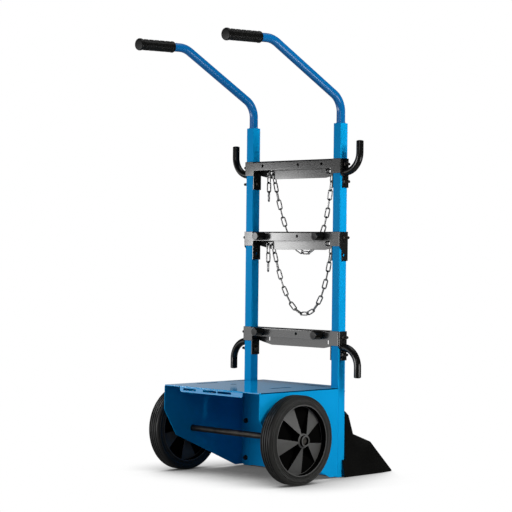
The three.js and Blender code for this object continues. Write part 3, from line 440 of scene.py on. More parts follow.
def flat_sheet(outline, holes=(), thickness=SHEET, edge=0.4):
    """A plate with rounded edges in (u, v), from n = 0 to the thickness."""
    curve = bpy.data.curves.new("sheet", "CURVE")
    curve.dimensions = "2D"
    curve.fill_mode = "BOTH"
    curve.extrude = thickness / 2 - edge
    curve.bevel_depth = edge
    curve.bevel_resolution = 2
    curve.offset = -edge
    for loop in (outline, *holes):
        spline = curve.splines.new("POLY")
        spline.points.add(len(loop) - 1)
        for point, (u, v) in zip(spline.points, loop):
            point.co = (u, v, 0.0, 1.0)
        spline.use_cyclic_u = True
    item = placed("sheet", curve)
    bpy.context.view_layer.update()
    mesh = item.evaluated_get(bpy.context.evaluated_depsgraph_get()).to_mesh()
    build = bmesh.new()
    build.from_mesh(mesh)
    bmesh.ops.remove_doubles(build, verts=build.verts, dist=0.01)
    for vertex in build.verts:
        vertex.co.z += thickness / 2
    bpy.data.objects.remove(item)
    bpy.data.curves.remove(curve)
    return build


def taken(build):
    """A mesh in the making as a shape."""
    build.verts.index_update()
    points = np.array([vertex.co[:] for vertex in build.verts])
    faces = [[vertex.index for vertex in face.verts] for face in build.faces]
    build.free()
    return points, faces


def cut_across(build, place, normal):
    bmesh.ops.bisect_plane(build, geom=build.verts[:] + build.edges[:] + build.faces[:], dist=1e-4,
                           plane_co=place, plane_no=normal)


class FoldPath:
    """Straight runs and bends of a sheet's outer side, seen along the bends."""

    def __init__(self, start, direction, inward, runs, radius=BEND):
        self.parts = []
        self.cuts = []
        place = np.array(start, float)
        along = np.array(direction, float)
        inside = np.array(inward, float)
        s = 0.0
        for run, angle in runs:
            self.parts.append((s, s + run, place, along, inside, 0.0))
            place = place + along * run
            s += run
            if angle:
                turn = radians(angle)
                length = radius * turn
                self.parts.append((s, s + length, place, along, inside, radius))
                self.cuts.extend(s + length * step / FOLD_STEPS for step in range(FOLD_STEPS + 1))
                centre = place + inside * radius
                along, inside = (along * cos(turn) + inside * sin(turn),
                                 inside * cos(turn) - along * sin(turn))
                place = centre - inside * radius
                s += length
        self.length = s

    def flat(self, s, n):
        """The first run carried on without its bend."""
        _, _, place, along, inside, _ = self.parts[0]
        return place + along * s + inside * n

    def at(self, s, n):
        chosen = self.parts[-1]
        for part in self.parts:
            if s <= part[1] + 1e-6:
                chosen = part
                break
        start, _, place, along, inside, radius = chosen
        if not radius:
            return place + along * (s - start) + inside * n
        turn = (s - start) / radius
        centre = place + inside * radius
        local = inside * cos(turn) - along * sin(turn)
        return centre - local * (radius - n)


def folded(build, path, place, flat_where=None):
    """Folds a flat sheet whose v runs along the path. place(u, a, b) gives the point in space."""
    for cut in path.cuts:
        cut_across(build, (0, cut, 0), (0, 1, 0))
    for vertex in build.verts:
        u, s, n = vertex.co
        stays = flat_where and flat_where(u, s)
        vertex.co = place(u, *(path.flat(s, n) if stays else path.at(s, n)))
    return taken(build)


def sweep(points, radius, sides, dome=0.0, inner=None):
    """A round rod along points with a domed or flat end, or a tube where inner is given."""
    points = np.array(points, float)
    tangents = np.gradient(points, axis=0)
    tangents /= np.linalg.norm(tangents, axis=1)[:, None]
    sections = [(point, tangent, radius) for point, tangent in zip(points, tangents)]
    for step in range(1, DOME_STEPS + 1 if dome else 1):
        a = pi / 2 * step / DOME_STEPS
        end = points[-1] + tangents[-1] * dome * sin(a)
        sections.append((end, tangents[-1], max(radius * cos(a), AXIS_RADIUS)))
    reference = np.array([1.0, 0.0, 0.0])
    if abs(tangents[0] @ reference) > 0.9 or abs(tangents[-1] @ reference) > 0.9:
        reference = np.array([0.0, 1.0, 0.0])
    outer, bore = [], []
    for point, tangent, r in sections:
        side = unit(reference - tangent * (reference @ tangent))
        up = np.cross(tangent, side)
        outer.append(ring_about(point, side, up, r, sides))
        if inner:
            bore.append(ring_about(point, side, up, inner, sides))
    rings = outer + bore[::-1]
    return np.concatenate(rings), ring_faces(len(rings), sides, closed=bool(inner), capped=not inner)


def bent_route(corners, radii):
    """Points along straight runs with round corners."""
    corners = [np.array(corner, float) for corner in corners]
    points = [corners[0]]
    for index, radius in enumerate(radii):
        before, corner, after = corners[index:index + 3]
        arriving, leaving = unit(corner - before), unit(after - corner)
        angle = acos(float(arriving @ leaving))
        centre = corner + unit(leaving - arriving) * radius / cos(angle / 2)
        arm = corner - arriving * radius * tan(angle / 2) - centre
        for k in range(ARC_STEPS + 1):
            turn = angle * k / ARC_STEPS
            points.append(centre + arm * cos(turn) + arriving * radius * sin(turn))
    points.append(corners[-1])
    dense = [points[0]]
    for first, second in zip(points, points[1:]):
        count = max(1, int(np.linalg.norm(second - first) / LONGEST_STEP))
        dense += [first + (second - first) * k / count for k in range(1, count + 1)]
    return dense


# Camera, light and floor. Places are in metres, apart from the camera's.

CAMERA_TURN = (45.6418, -0.176, 0.6234)  # azimuth, pitch and roll in degrees
CAMERA_PLACE = (3572.607, -3653.744, 649.666)
FOCAL_PIXELS, PICTURE_PIXELS = 1725.239, 512.0
SENSOR_WIDTH = 36.0
VIEW_END = 60.0
WHITE = grey(1.0)
UP = (0.0, 0.0, 1.0)
TO_BACKDROP = (-0.715, 0.70, 0.0)
ALONG_BACKDROP = (0.70, 0.715, 0.0)
TO_REAR_WALL = (-0.709, -0.706, 0.0)
TO_SOFT_LIGHT = (-0.45, -0.55, 0.70)
SOFT_LIGHT = [(0.0, (0.020, 0.025, 0.052)), (0.4, (0.09, 0.10, 0.13)), (0.8, grey(0.35)), (1.0, grey(0.45))]
LAMPS = [  # name, place, target, size, power, colour, shown in reflections
    ("key", (2.2, 0.12, 1.7), (0.1, 0.12, 0.5), (0.15, 1.1), 57.0, (1.0, 0.98, 0.86), False),
    ("rear_box", (-0.7, -2.7, 0.45), (0.0, 0.0, 0.45), (1.0, 0.7), 30.0, WHITE, True),
    ("side_fill", (1.3, 2.7, 1.0), (0.0, 0.1, 0.6), (0.4, 0.6), 24.0, (0.85, 0.95, 1.0), False),
    ("bracket_glow", (-0.70, -0.496, 0.70), (-0.07, 0.13, 0.70), (0.15, 0.42), 1.95, WHITE, True),
    ("strip", (2.1, -3.3, 1.7), (0.0, 0.0, 0.8), (0.5, 1.2), 11.0, WHITE, True),
    ("handle_line", (1.34, 0.35, 0.35), (0.0, -0.02, 1.14), (0.55, 0.4), 5.5, WHITE, True),
    ("top", (0.2, 0.4, 3.0), (0.0, 0.1, 0.0), (1.6, 1.6), 13.0, WHITE, True),
]
PAPER_COLOUR = (0.30, 0.30, 0.30, 1.0)
FLOOR_REACH = 1.5
FLOOR_DROP = 0.0004
FLOOR_FADE = (0.75, 1.4)
SHADOW_REACH = 0.3
SHADOW = [(0.0, grey(0.02)), (0.35, grey(0.14)), (0.66, grey(0.66)), (0.88, WHITE)]


def set_camera():
    scene = bpy.context.scene
    azimuth, pitch, roll = (radians(value) for value in CAMERA_TURN)
    forward = Vector((-sin(azimuth) * cos(pitch), cos(azimuth) * cos(pitch),
                      sin(pitch)))
    level = Vector((cos(azimuth), sin(azimuth), 0.0))
    upright = level.cross(forward)
    right = level * cos(roll) + upright * sin(roll)
    up = upright * cos(roll) - level * sin(roll)
    data = bpy.data.cameras.new("camera")
    data.sensor_width = SENSOR_WIDTH
    data.lens = SENSOR_WIDTH * FOCAL_PIXELS / PICTURE_PIXELS
    data.clip_end = VIEW_END
    camera = placed("camera", data)
    place = Vector(at(CAMERA_PLACE)[0])
    camera.matrix_world = Matrix.Translation(place) @ Matrix((right, up, -forward)).transposed().to_4x4()
    scene.camera = camera
    scene.view_settings.view_transform = "Standard"


def set_world():
    """White to the camera, graded surroundings in reflections and soft light from the left rear."""
    world = bpy.data.worlds.new("studio")
    bpy.context.scene.world = world
    world.use_nodes = True
    nodes = Nodes(world.node_tree)
    background = world.node_tree.nodes["Background"]
    path = nodes.add("ShaderNodeLightPath").outputs
    place = nodes.add("ShaderNodeTexCoord").outputs["Generated"]

    def along(direction):
        node = nodes.add("ShaderNodeVectorMath", operation="DOT_PRODUCT")
        for socket, value in zip(node.inputs, (place, direction)):
            nodes.feed(socket, value)
        return node.outputs["Value"]

    height = along(UP)
    backdrop = nodes.math("MULTIPLY", nodes.remap(along(TO_BACKDROP), 0.4, 0.85, 0.06, 1.0),
                          nodes.remap(along(ALONG_BACKDROP), -0.05, 0.05, 0.40, 0.07))
    backdrop = nodes.math("MULTIPLY", backdrop, nodes.remap(height, 0.2, 0.5, 1.0, 0.15))
    rear_wall = nodes.math("MULTIPLY", nodes.remap(along(TO_REAR_WALL), 0.88, 0.97, 0.0, 1.0),
                           nodes.remap(height, -0.08, 0.06, 2.3, 0.25))
    reflected = nodes.math("MAXIMUM", path["Is Glossy Ray"], path["Is Transmission Ray"])
    light = nodes.mix(reflected, nodes.ramp(along(TO_SOFT_LIGHT), SOFT_LIGHT),
                      nodes.math("MAXIMUM", backdrop, rear_wall))
    nodes.feed(background.inputs["Color"], nodes.mix(path["Is Camera Ray"], light, (*WHITE, 1.0)))
    background.inputs["Strength"].default_value = 1.0


def set_lamps():
    for name, place, target, size, power, colour, reflected in LAMPS:
        data = bpy.data.lights.new(name, "AREA")
        data.shape = "RECTANGLE"
        data.size, data.size_y = size
        data.energy = power
        data.color = colour
        item = placed(name, data)
        item.location = place
        item.rotation_euler = (Vector(target) - Vector(place)).to_track_quat("-Z", "Y").to_euler()
        item.visible_camera = False
        item.visible_glossy = reflected


def set_floor():
    """Paper that is white to the camera, darker near the cart, and fades out all round."""
    mesh = bpy.data.meshes.new("floor")
    mesh.from_pydata([(u, v, 0) for u, v in rectangle(FLOOR_REACH, FLOOR_REACH)], [], [(0, 1, 2, 3)])
    floor = placed("floor", mesh)
    floor.location.z = -FLOOR_DROP
    paper, nodes, shader = node_material("paper")
    for socket, value in (("Base Color", PAPER_COLOUR), ("Roughness", 0.9), ("Specular IOR Level", 0.0)):
        shader.inputs[socket].default_value = value
    path = nodes.add("ShaderNodeLightPath")
    near = nodes.add("ShaderNodeAmbientOcclusion", samples=16, Distance=SHADOW_REACH)
    lift = nodes.add("ShaderNodeEmission", Color=nodes.ramp(near.outputs["AO"], SHADOW))
    spot = nodes.add("ShaderNodeNewGeometry")
    away = nodes.add("ShaderNodeVectorMath", operation="LENGTH")
    nodes.feed(away.inputs[0], spot.outputs["Position"])
    fade = nodes.remap(away.outputs["Value"], *FLOOR_FADE, 0.0, 1.0)
    clear = nodes.add("ShaderNodeBsdfTransparent")

    def choose(*sources):
        node = nodes.add("ShaderNodeMixShader")
        for socket, source in zip(node.inputs, sources):
            nodes.feed(socket, source)
        return node.outputs["Shader"]

    seen = choose(path.outputs["Is Camera Ray"], shader.outputs["BSDF"], lift.outputs["Emission"])
    out = nodes.tree.nodes["Material Output"]
    nodes.feed(out.inputs["Surface"], choose(fade, seen, clear.outputs["BSDF"]))
    mesh.materials.append(paper)


set_camera()
set_world()
set_lamps()
set_floor()

# Uprights, handles and grips

UPRIGHT_WALL = 2.0
UPRIGHT_CORNER = 3.0
UPRIGHT_SOFT_END = 0.5
HANDLE_TUBE = 25.0
HANDLE_WALL = 2.0
HANDLE_PLUG = 80.0
HANDLE_RISE = 66.0
HANDLE_SLOPE = (-283.0, 153.0)
HANDLE_RUN = 175.0
HANDLE_BENDS = (58.0, 80.0)
HANDLE_DROOP = radians(1.6)
HANDLE_LOW = np.array([0.0, 0.0, UPRIGHT_HEIGHT + HANDLE_RISE])
HANDLE_HIGH = HANDLE_LOW + np.array([0.0, *HANDLE_SLOPE])
HANDLE_DIRECTION = np.array([0.0, -cos(HANDLE_DROOP), -sin(HANDLE_DROOP)])
HANDLE_END = HANDLE_HIGH + HANDLE_DIRECTION * HANDLE_RUN
GRIP_LENGTH = 130.0
GRIP_END_WALL = 4.0
GRIP_RADIUS = 15.1
GRIP_MOUTH = [(0.0, 15.9), (1.0, 16.5), (4.5, 16.5), (6.0, 15.3), (7.5, 14.9), (9.0, GRIP_RADIUS)]
GRIP_FLANGE = [(16.0, GRIP_RADIUS), (13.0, 15.3), (11.0, 16.4), (9.0, 17.3), (6.5, 17.5), (3.5, 17.3),
               (1.2, 16.2), (0.0, 13.5), (0.0, AXIS_RADIUS)]  # back from the far end, radius
DASH_ROWS, DASHES = 11, 5
DASH_START, DASH_STOP = 10.0, GRIP_LENGTH - 17.0
DASH_PITCH = (DASH_STOP - DASH_START) / DASHES
DASH_LENGTH, DASH_WIDTH = DASH_PITCH * 0.8, 5.2
DASH_SECTION = [(1.0, -0.5), (0.96, 0.5), (0.80, 0.9), (0.5, 1.0)]  # share of the width, height
WELD_RADIUS, WELD_RIPPLE, WELD_SIDES = 1.5, 0.18, 10
HANDLE_WELD_RADIUS = 12.9


def upright_shape():
    """A square tube standing on the floor, with its ends' outer edges softened."""
    bore = FACE - UPRIGHT_WALL
    outer = rounded_profile(rectangle(FACE, FACE), UPRIGHT_CORNER, 6)
    inner = rounded_profile(rectangle(bore, bore), UPRIGHT_CORNER - UPRIGHT_WALL, 6)
    soft, top = UPRIGHT_SOFT_END, UPRIGHT_HEIGHT
    shrink = (FACE - soft) / FACE
    rows = [(inner, 1.0, 0.0), (outer, shrink, 0.0), (outer, 1.0, soft), (outer, 1.0, top - soft),
            (outer, shrink, top), (inner, 1.0, top)]
    points = [(u * scale, v * scale, z) for loop, scale, z in rows for u, v in loop]
    return np.array(points), ring_faces(len(rows), len(outer), closed=True)


def raised_dash(x, angle):
    """A low rounded bar lying along the grip."""
    outline = rounded_profile(rectangle(DASH_LENGTH / 2, DASH_WIDTH / 2), DASH_WIDTH * 0.48, 3)
    points = []
    for share, lift in DASH_SECTION:
        cut = (1 - share) * DASH_WIDTH / 2
        r = GRIP_RADIUS + lift
        for corner in outline:
            u, v = (copysign(max(abs(value) - cut, 0.0), value) for value in corner)
            a = angle + v / GRIP_RADIUS
            points.append((x + u, r * cos(a), r * sin(a)))
    return np.array(points), ring_faces(len(DASH_SECTION), len(outline), capped=True)


def grip_shape():
    """A moulded sleeve along +x from its mouth, with rows of raised dashes."""
    bore, floor = HANDLE_TUBE / 2 + FIT_GAP, GRIP_LENGTH - GRIP_END_WALL
    profile = [(floor, AXIS_RADIUS), (floor, bore), (0.0, bore), *GRIP_MOUTH]
    profile += [(GRIP_LENGTH - back, radius) for back, radius in GRIP_FLANGE]
    shapes = [lathe(profile, 56, closed=False)]
    for row in range(DASH_ROWS):
        angle = 2 * pi * (row + 0.5) / DASH_ROWS
        shapes += [raised_dash(DASH_START + DASH_PITCH * (k + 0.5), angle) for k in range(DASHES)]
    return merged(shapes)


def weld_bead(path):
    """A rippled bead of weld round a closed path."""
    points = np.array(path, float)
    tangents = np.roll(points, -1, axis=0) - np.roll(points, 1, axis=0)
    tangents /= np.linalg.norm(tangents, axis=1)[:, None]
    rings = []
    for index, (point, tangent) in enumerate(zip(points, tangents)):
        side = np.cross(tangent, [0.0, 0.0, 1.0])
        if np.linalg.norm(side) < 0.2:
            side = np.cross(tangent, [1.0, 0.0, 0.0])
        side = unit(side)
        ripple = 1 + WELD_RIPPLE * sin(index * 2.0)
        rings.append(ring_about(point, side, np.cross(side, tangent), WELD_RADIUS * ripple, WELD_SIDES))
    return np.concatenate(rings), ring_faces(len(rings), WELD_SIDES, closed=True)


def build_uprights():
    upright, grip = upright_shape(), grip_shape()
    turn = Vector((1, 0, 0)).rotation_difference(Vector(HANDLE_DIRECTION)).to_matrix().to_4x4()
    mouth = HANDLE_END - HANDLE_DIRECTION * (GRIP_LENGTH - GRIP_END_WALL - FIT_GAP)
    foot = (0, 0, UPRIGHT_HEIGHT - HANDLE_PLUG)
    route = bent_route([foot, HANDLE_LOW, HANDLE_HIGH, HANDLE_END], HANDLE_BENDS)
    tube = sweep(route, HANDLE_TUBE / 2, 48, inner=HANDLE_TUBE / 2 - HANDLE_WALL)
    bead = weld_bead([(u, v, UPRIGHT_HEIGHT + 0.1) for u, v in circle(0, 0, HANDLE_WELD_RADIUS, 72)])
    handle = merged([tube, bead])
    for hand, side in SIDES.items():
        place = (side * UPRIGHT_X, 0, 0)
        piece(f"upright_{hand}", "tube", moved(upright, place), "blue_paint")
        # The handles wear the darker copy of the blue paint: painted shade
        piece(f"handle_{hand}", "tube", moved(handle, place), "blue_paint", finish="shaded_tube_blue_paint")
        piece(f"grip_{hand}", "sleeve", moved(moved(grip, mouth, turn), place), "grip_rubber")


build_uprights()

# Deck, side panels and bay wall

DECK_BEND = 3.4
DECK_INSET = 1.5
DECK_RELIEF = 1.2
DECK_CORNERS = [2, 2, 1.5, 2, 2, 1, 0, 0, 6, 8, 0, 0, 1, 2, 2, 1.5]
LIP_HALF, LIP_DEPTH = 130.0, 17.0
LIP_SLOTS = ((-116, -62), (-32, 23), (28, 84))
LIP_SLOT_HEIGHT = 6.0
DECK_SLOTS = [(95.0, 9.0, 84.0, 12.0), (-162.0, 196.0, 12.0, 84.0), (-180.0, 64.0, 12.0, 84.0),
              (97.0, 150.0, 12.0, 84.0)]  # x, distance behind the uprights' middles, width, depth
DECK_HOLE = (-84.0, 165.0, 9.0)  # x, distance behind the uprights' middles, radius
PANEL_TOP = DECK_HEIGHT - SHEET - FIT_GAP
PANEL_FLANGE = 30.0
PANEL_FLOOR_GAP = 3.0
PANEL_REAR_HEIGHT = 185.0
PANEL_KNEE_BACK, PANEL_KNEE_HEIGHT = 288.0, 109.0
PANEL_TOE_BACK = 47.0
PANEL_CORNERS = [9.0, 9.0, 6.0, 0, 0, 1.5]
PANEL_EDGE, WALL_EDGE = 1.1, 0.3
AXLE_HOLE_RADIUS = AXLE_RADIUS + 0.4


def build_deck():
    neck = INNER_X - FIT_GAP
    wide = PANEL_OUTER_X - DECK_INSET
    front, rear = DECK_FRONT + COLLAR_IN, DECK_FRONT + DECK_REAR
    flat = rear - DECK_BEND
    path = FoldPath((DECK_FRONT, DECK_HEIGHT), (-1, 0), (0, -1),
                    [(flat, 90.0), (LIP_DEPTH - DECK_BEND, 0)], DECK_BEND)
    end = path.length
    slit, slit_end = LIP_HALF + DECK_RELIEF, flat - 1.0
    outline = [(-neck, 0), (neck, 0), (neck, front), (wide, front), (wide, rear), (slit, rear),
               (slit, slit_end), (LIP_HALF, slit_end), (LIP_HALF, end), (-LIP_HALF, end),
               (-LIP_HALF, slit_end), (-slit, slit_end), (-slit, rear), (-wide, rear), (-wide, front),
               (-neck, front)]
    holes = [slot_outline(x, DECK_FRONT + back, width, depth) for x, back, width, depth in DECK_SLOTS]
    x, back, radius = DECK_HOLE
    holes.append(circle(x, DECK_FRONT + back, radius))
    for low, high in LIP_SLOTS:
        holes.append(slot_outline((low + high) / 2, end - LIP_DEPTH / 2, high - low, LIP_SLOT_HEIGHT))
    build = flat_sheet(rounded_profile(outline, DECK_CORNERS, 5), holes)
    shape = folded(build, path, lambda u, a, b: (u, a, b), lambda u, s: abs(u) > LIP_HALF + 0.5)
    piece("deck", "sheet", shape, "blue_paint", finish="deck_blue_paint")


def build_panels():
    outer = PANEL_OUTER_X
    leg = PANEL_FLANGE - BEND
    path = FoldPath((outer, -DECK_REAR), (0, 1), (-1, 0), [(DECK_REAR - COLLAR_IN - BEND, 90.0), (leg, 0)])
    end = path.length
    outline = [(0.0, PANEL_REAR_HEIGHT), (DECK_REAR - PANEL_KNEE_BACK, PANEL_KNEE_HEIGHT),
               (DECK_REAR - PANEL_TOE_BACK, PANEL_FLOOR_GAP), (end, PANEL_FLOOR_GAP), (end, PANEL_TOP),
               (0.0, PANEL_TOP)]
    bolt = end - leg + (outer - BEND - UPRIGHT_X)
    holes = [circle(DECK_REAR - AXLE_BACK, AXLE_HEIGHT, AXLE_HOLE_RADIUS)]
    holes += [circle(bolt, height, BOLT_HOLE_RADIUS) for height in FRAME_BOLT_HEIGHTS]
    loops = [rounded_profile(outline, PANEL_CORNERS, 5), *holes]
    outline, *holes = [[(z, s) for s, z in loop] for loop in loops]
    shape = folded(flat_sheet(outline, holes, PANEL_SHEET, PANEL_EDGE), path, lambda z, x, y: (x, y, z))
    for hand, side in SIDES.items():
        piece(f"side_panel_{hand}", "sheet", on_side(shape, side), "blue_paint")
    half = outer - PANEL_FLANGE
    corners = [(-half, PANEL_FLOOR_GAP), (half, PANEL_FLOOR_GAP), (half, PANEL_TOP), (-half, PANEL_TOP)]
    points, faces = taken(flat_sheet(corners, (), PANEL_SHEET, WALL_EDGE))
    wall = np.stack([points[:, 0], -COLLAR_IN - points[:, 2], points[:, 1]], axis=1)
    piece("bay_wall", "sheet", (wall, faces), "blue_paint")


build_deck()
build_panels()

# Brackets

COLLAR_HEIGHT = 84.0
COLLAR_SEAM = 0.1
TAB_HEIGHT = 42.0
TAB_INSET = 2.0
NOTCH_FOOT, NOTCH_BACK = 53.0, 8.0
REAR_LEG = 27.0
FRONT_END = 42.0
FRONT_TAPER = 54.0
BRACKET_RELIEF = 0.9
BRACKET_CORNERS = [2.5, 2.5, 2.0, 3.0, 2.0, 0.5, 0.5, 0.0, 0.0, 0.0, 1.0, 10.0]
PEG_HOLES = (-PEG_OFFSET, 26.0, PEG_OFFSET)
PEG_HOLE_RADIUS = 4.5
CHAIN_SLOT_WIDTH, CHAIN_SLOT_LENGTH = 5.6, 18.0


def bracket_sheet():
    """One folded sheet about the bracket's top: the inverted channel, its rear plate and both collars."""
    rear = TAB_HEIGHT - BEND
    arc = BEND * pi / 2
    span = 2 * COLLAR_OUT - 2 * BEND
    path = FoldPath((-COLLAR_OUT, -TAB_HEIGHT), (0, 1), (1, 0),
                    [(rear, 90.0), (span, 90.0), (FRONT_LEG - BEND, 0)])
    front = rear + 2 * arc + span
    edge = COLLAR_OUTER_X - BEND
    last = span + BEND - SHEET - COLLAR_SEAM
    sleeve = FoldPath((edge, -COLLAR_OUT), (1, 0), (0, 1),
                      [(0.0, 90.0), (span, 90.0), (span, 90.0), (last, 0)])
    foot = TAB_HEIGHT - COLLAR_HEIGHT
    x, slit = COLLAR_INNER_X, COLLAR_INNER_X + BRACKET_RELIEF
    notch = edge + arc + COLLAR_OUT - BEND - NOTCH_BACK
    half = [(x - TAB_INSET - 1.0, TAB_HEIGHT - REAR_LEG), (x - TAB_INSET, 0.0), (edge + 1.0, 0.0),
            (notch, TAB_HEIGHT - NOTCH_FOOT), (notch, foot), (edge + sleeve.length, foot),
            (edge + sleeve.length, TAB_HEIGHT), (slit, TAB_HEIGHT), (slit, rear - 1.0), (x, rear - 1.0),
            (x, front + FRONT_END - BEND), (x - FRONT_TAPER, path.length)]
    outline = half + [(-u, v) for u, v in reversed(half)]
    radii = BRACKET_CORNERS + BRACKET_CORNERS[::-1]
    holes = [circle(u, TAB_HEIGHT - PEG_DROP, PEG_HOLE_RADIUS) for u in PEG_HOLES]
    slot_middle = front + FRONT_LEG - BEND - CHAIN_SLOT_RISE - CHAIN_SLOT_LENGTH / 2
    holes += [slot_outline(u, slot_middle, CHAIN_SLOT_WIDTH, CHAIN_SLOT_LENGTH, 5)
              for u in (-CHAIN_LEFT, CHAIN_RIGHT)]
    for middle in (edge + arc + span / 2, edge + 3 * arc + 2 * span + span / 2):
        for drop in COLLAR_BOLT_DROPS:
            holes += [circle(u, TAB_HEIGHT - drop, BOLT_HOLE_RADIUS) for u in (middle, -middle)]
    build = flat_sheet(rounded_profile(outline, radii, 4), holes)
    for cut in sleeve.cuts:
        for side in SIDES.values():
            cut_across(build, (side * (edge + cut), 0, 0), (1, 0, 0))

    def place(u, y, z):
        if abs(u) <= edge:
            return u, y, z
        out, back = sleeve.at(abs(u) - edge, y + COLLAR_OUT)
        return copysign(out, u), back, z

    return folded(build, path, place, lambda u, s: abs(u) > x + BRACKET_RELIEF / 2)


def build_brackets():
    sheet = bracket_sheet()
    for name, top in BRACKETS.items():
        piece(f"bracket_{name}", "sheet", moved(sheet, (0, 0, top)), "black_paint")


build_brackets()

# Bolts

HEX_ACROSS = 13.0
HEX_CHAMFER = 0.9
HEX_SIDES = 24
HEX_TURNED_RADIUS = HEX_ACROSS / 2 * 0.97
HEAD_HEIGHT, NUT_HEIGHT = 5.3, 6.5
WASHER_BORE, WASHER_RADIUS, WASHER_HEIGHT = 4.2, 8.0, 0.28
WASHER_BITE = 0.02
SHANK_RADIUS = 4.0
THREAD_PITCH, THREAD_DEPTH, THREAD_LENGTH = 1.25, 0.6, 26.0
COLLAR_BOLT_END, FRAME_BOLT_END = 22.0, 12.0


def hex_prism(low, high):
    """A hexagon along x with its corners turned off at both ends."""
    points = []
    for x, turned in ((low, True), (low + HEX_CHAMFER, False), (high - HEX_CHAMFER, False), (high, True)):
        for k in range(HEX_SIDES):
            a = 2 * pi * k / HEX_SIDES
            sector = (a + pi / 6) % (pi / 3) - pi / 6
            r = HEX_ACROSS / 2 / cos(sector)
            if turned:
                r = min(r, HEX_TURNED_RADIUS)
            points.append((x, r * cos(a), r * sin(a)))
    return np.array(points), ring_faces(4, HEX_SIDES, capped=True)


def threaded_rod(low, high):
    """A rod along x with a thread's rings and a chamfered end at high."""
    x = max(low + 1.0, high - THREAD_LENGTH)
    profile = [(low, AXIS_RADIUS), (low, SHANK_RADIUS), (x, SHANK_RADIUS)]
    while x + THREAD_PITCH < high - 1.4:
        profile.append((x + THREAD_PITCH * 0.5, SHANK_RADIUS - THREAD_DEPTH))
        profile.append((x + THREAD_PITCH, SHANK_RADIUS))
        x += THREAD_PITCH
    profile += [(high - 0.9, SHANK_RADIUS - 0.1), (high, SHANK_RADIUS - 1.0), (high, AXIS_RADIUS)]
    return lathe(profile, 28, closed=False)


def washer(low, high):
    return turned_ring(low, high, WASHER_BORE, WASHER_RADIUS, 0.3, 2, 40)


def through_bolt(head, nut, end):
    """A bolt along +x: its head's seat, its nut's seat, and where its thread ends."""
    under_head, under_nut = head - WASHER_BITE, nut + WASHER_BITE
    return merged([
        hex_prism(head - HEAD_HEIGHT, under_head), washer(under_head, head + WASHER_HEIGHT),
        washer(nut - WASHER_HEIGHT, under_nut), hex_prism(under_nut, nut + NUT_HEIGHT),
        threaded_rod(head - 1.0, end),
    ])


def build_bolts():
    seat = COLLAR_OUT + FIT_GAP
    collar = through_bolt(-seat, seat, FACE + COLLAR_BOLT_END)
    for name, top in BRACKETS.items():
        drops = COLLAR_BOLT_DROPS[:1] if name == "middle" else COLLAR_BOLT_DROPS
        for hand, side in SIDES.items():
            for index, drop in enumerate(drops):
                shape = moved(on_side(collar, side), (side * UPRIGHT_X, 0, top - drop))
                piece(f"collar_bolt_{name}_{hand}_{index + 1}", "steel", shape, "dark_steel")
    head = -(FACE + 2 * FIT_GAP + PANEL_SHEET)
    for index, height in enumerate(FRAME_BOLT_HEIGHTS):
        toe_sheet = SHEET + FIT_GAP if index < 2 else 0.0
        nut = FACE + FIT_GAP + toe_sheet
        bolt = moved(through_bolt(head, nut, nut + FRAME_BOLT_END), turn=TO_FRONT)
        for hand, side in SIDES.items():
            shape = moved(bolt, (side * UPRIGHT_X, 0, height))
            piece(f"frame_bolt_{hand}_{index + 1}", "steel", shape, "dark_steel")


build_bolts()

# Hooks and pegs

HOOK_REACH, HOOK_BEND = 57.0, 55.0
HOOK_RADIUS, HOOK_DOME = 10.5, 3.0
HOOK_WELD_RADIUS = 11.0
HOOKS = {"upper": (90.0, 39.0), "lower": (-86.0, 46.0)}  # rise of the tip, drop from the bracket's top
PEG_PROFILE = [(0.0, AXIS_RADIUS), (0.0, 11.9), (0.5, 12.5), (25.6, 12.5), (27.0, 12.2), (27.7, 11.6),
               (28.0, 10.6), (27.9, 9.4), (27.8, AXIS_RADIUS)]
PEG_STUD = [(-9.5, AXIS_RADIUS), (-9.5, 3.4), (-9.0, 4.0), (0.2, 4.0), (0.2, AXIS_RADIUS)]


def hook_shape(rise):
    tip = rise - copysign(HOOK_DOME, rise)
    route = bent_route([(0, 0, 0), (HOOK_REACH, 0, 0), (HOOK_REACH, 0, tip)], [HOOK_BEND])
    bead = weld_bead([(0.4, u, v) for u, v in circle(0, 0, HOOK_WELD_RADIUS, 60)])
    return merged([sweep(route, HOOK_RADIUS, 36, dome=HOOK_DOME), bead])


def peg_shape():
    """A stop along +x from the bracket, with a rolled rim round its end face."""
    return merged([lathe(PEG_PROFILE, 44, closed=False), lathe(PEG_STUD, 24, closed=False)])


def build_hooks():
    peg = moved(peg_shape(), turn=TO_REAR)
    for hand, side in SIDES.items():
        for name, (rise, drop) in HOOKS.items():
            root = (side * (COLLAR_OUTER_X + FIT_GAP), 0, BRACKETS[name] - drop)
            shape = moved(on_side(hook_shape(rise), side), root)
            piece(f"hook_{name}_{hand}", "rod", shape, "black_paint", finish="dull_black_paint")
        for name in ("middle", "lower"):
            root = (side * PEG_OFFSET, -COLLAR_OUT - FIT_GAP, BRACKETS[name] - PEG_DROP)
            shape = moved(peg, root)
            piece(f"peg_{name}_{hand}", "stop", shape, "black_paint", finish="dull_black_paint")


build_hooks()

# Chains

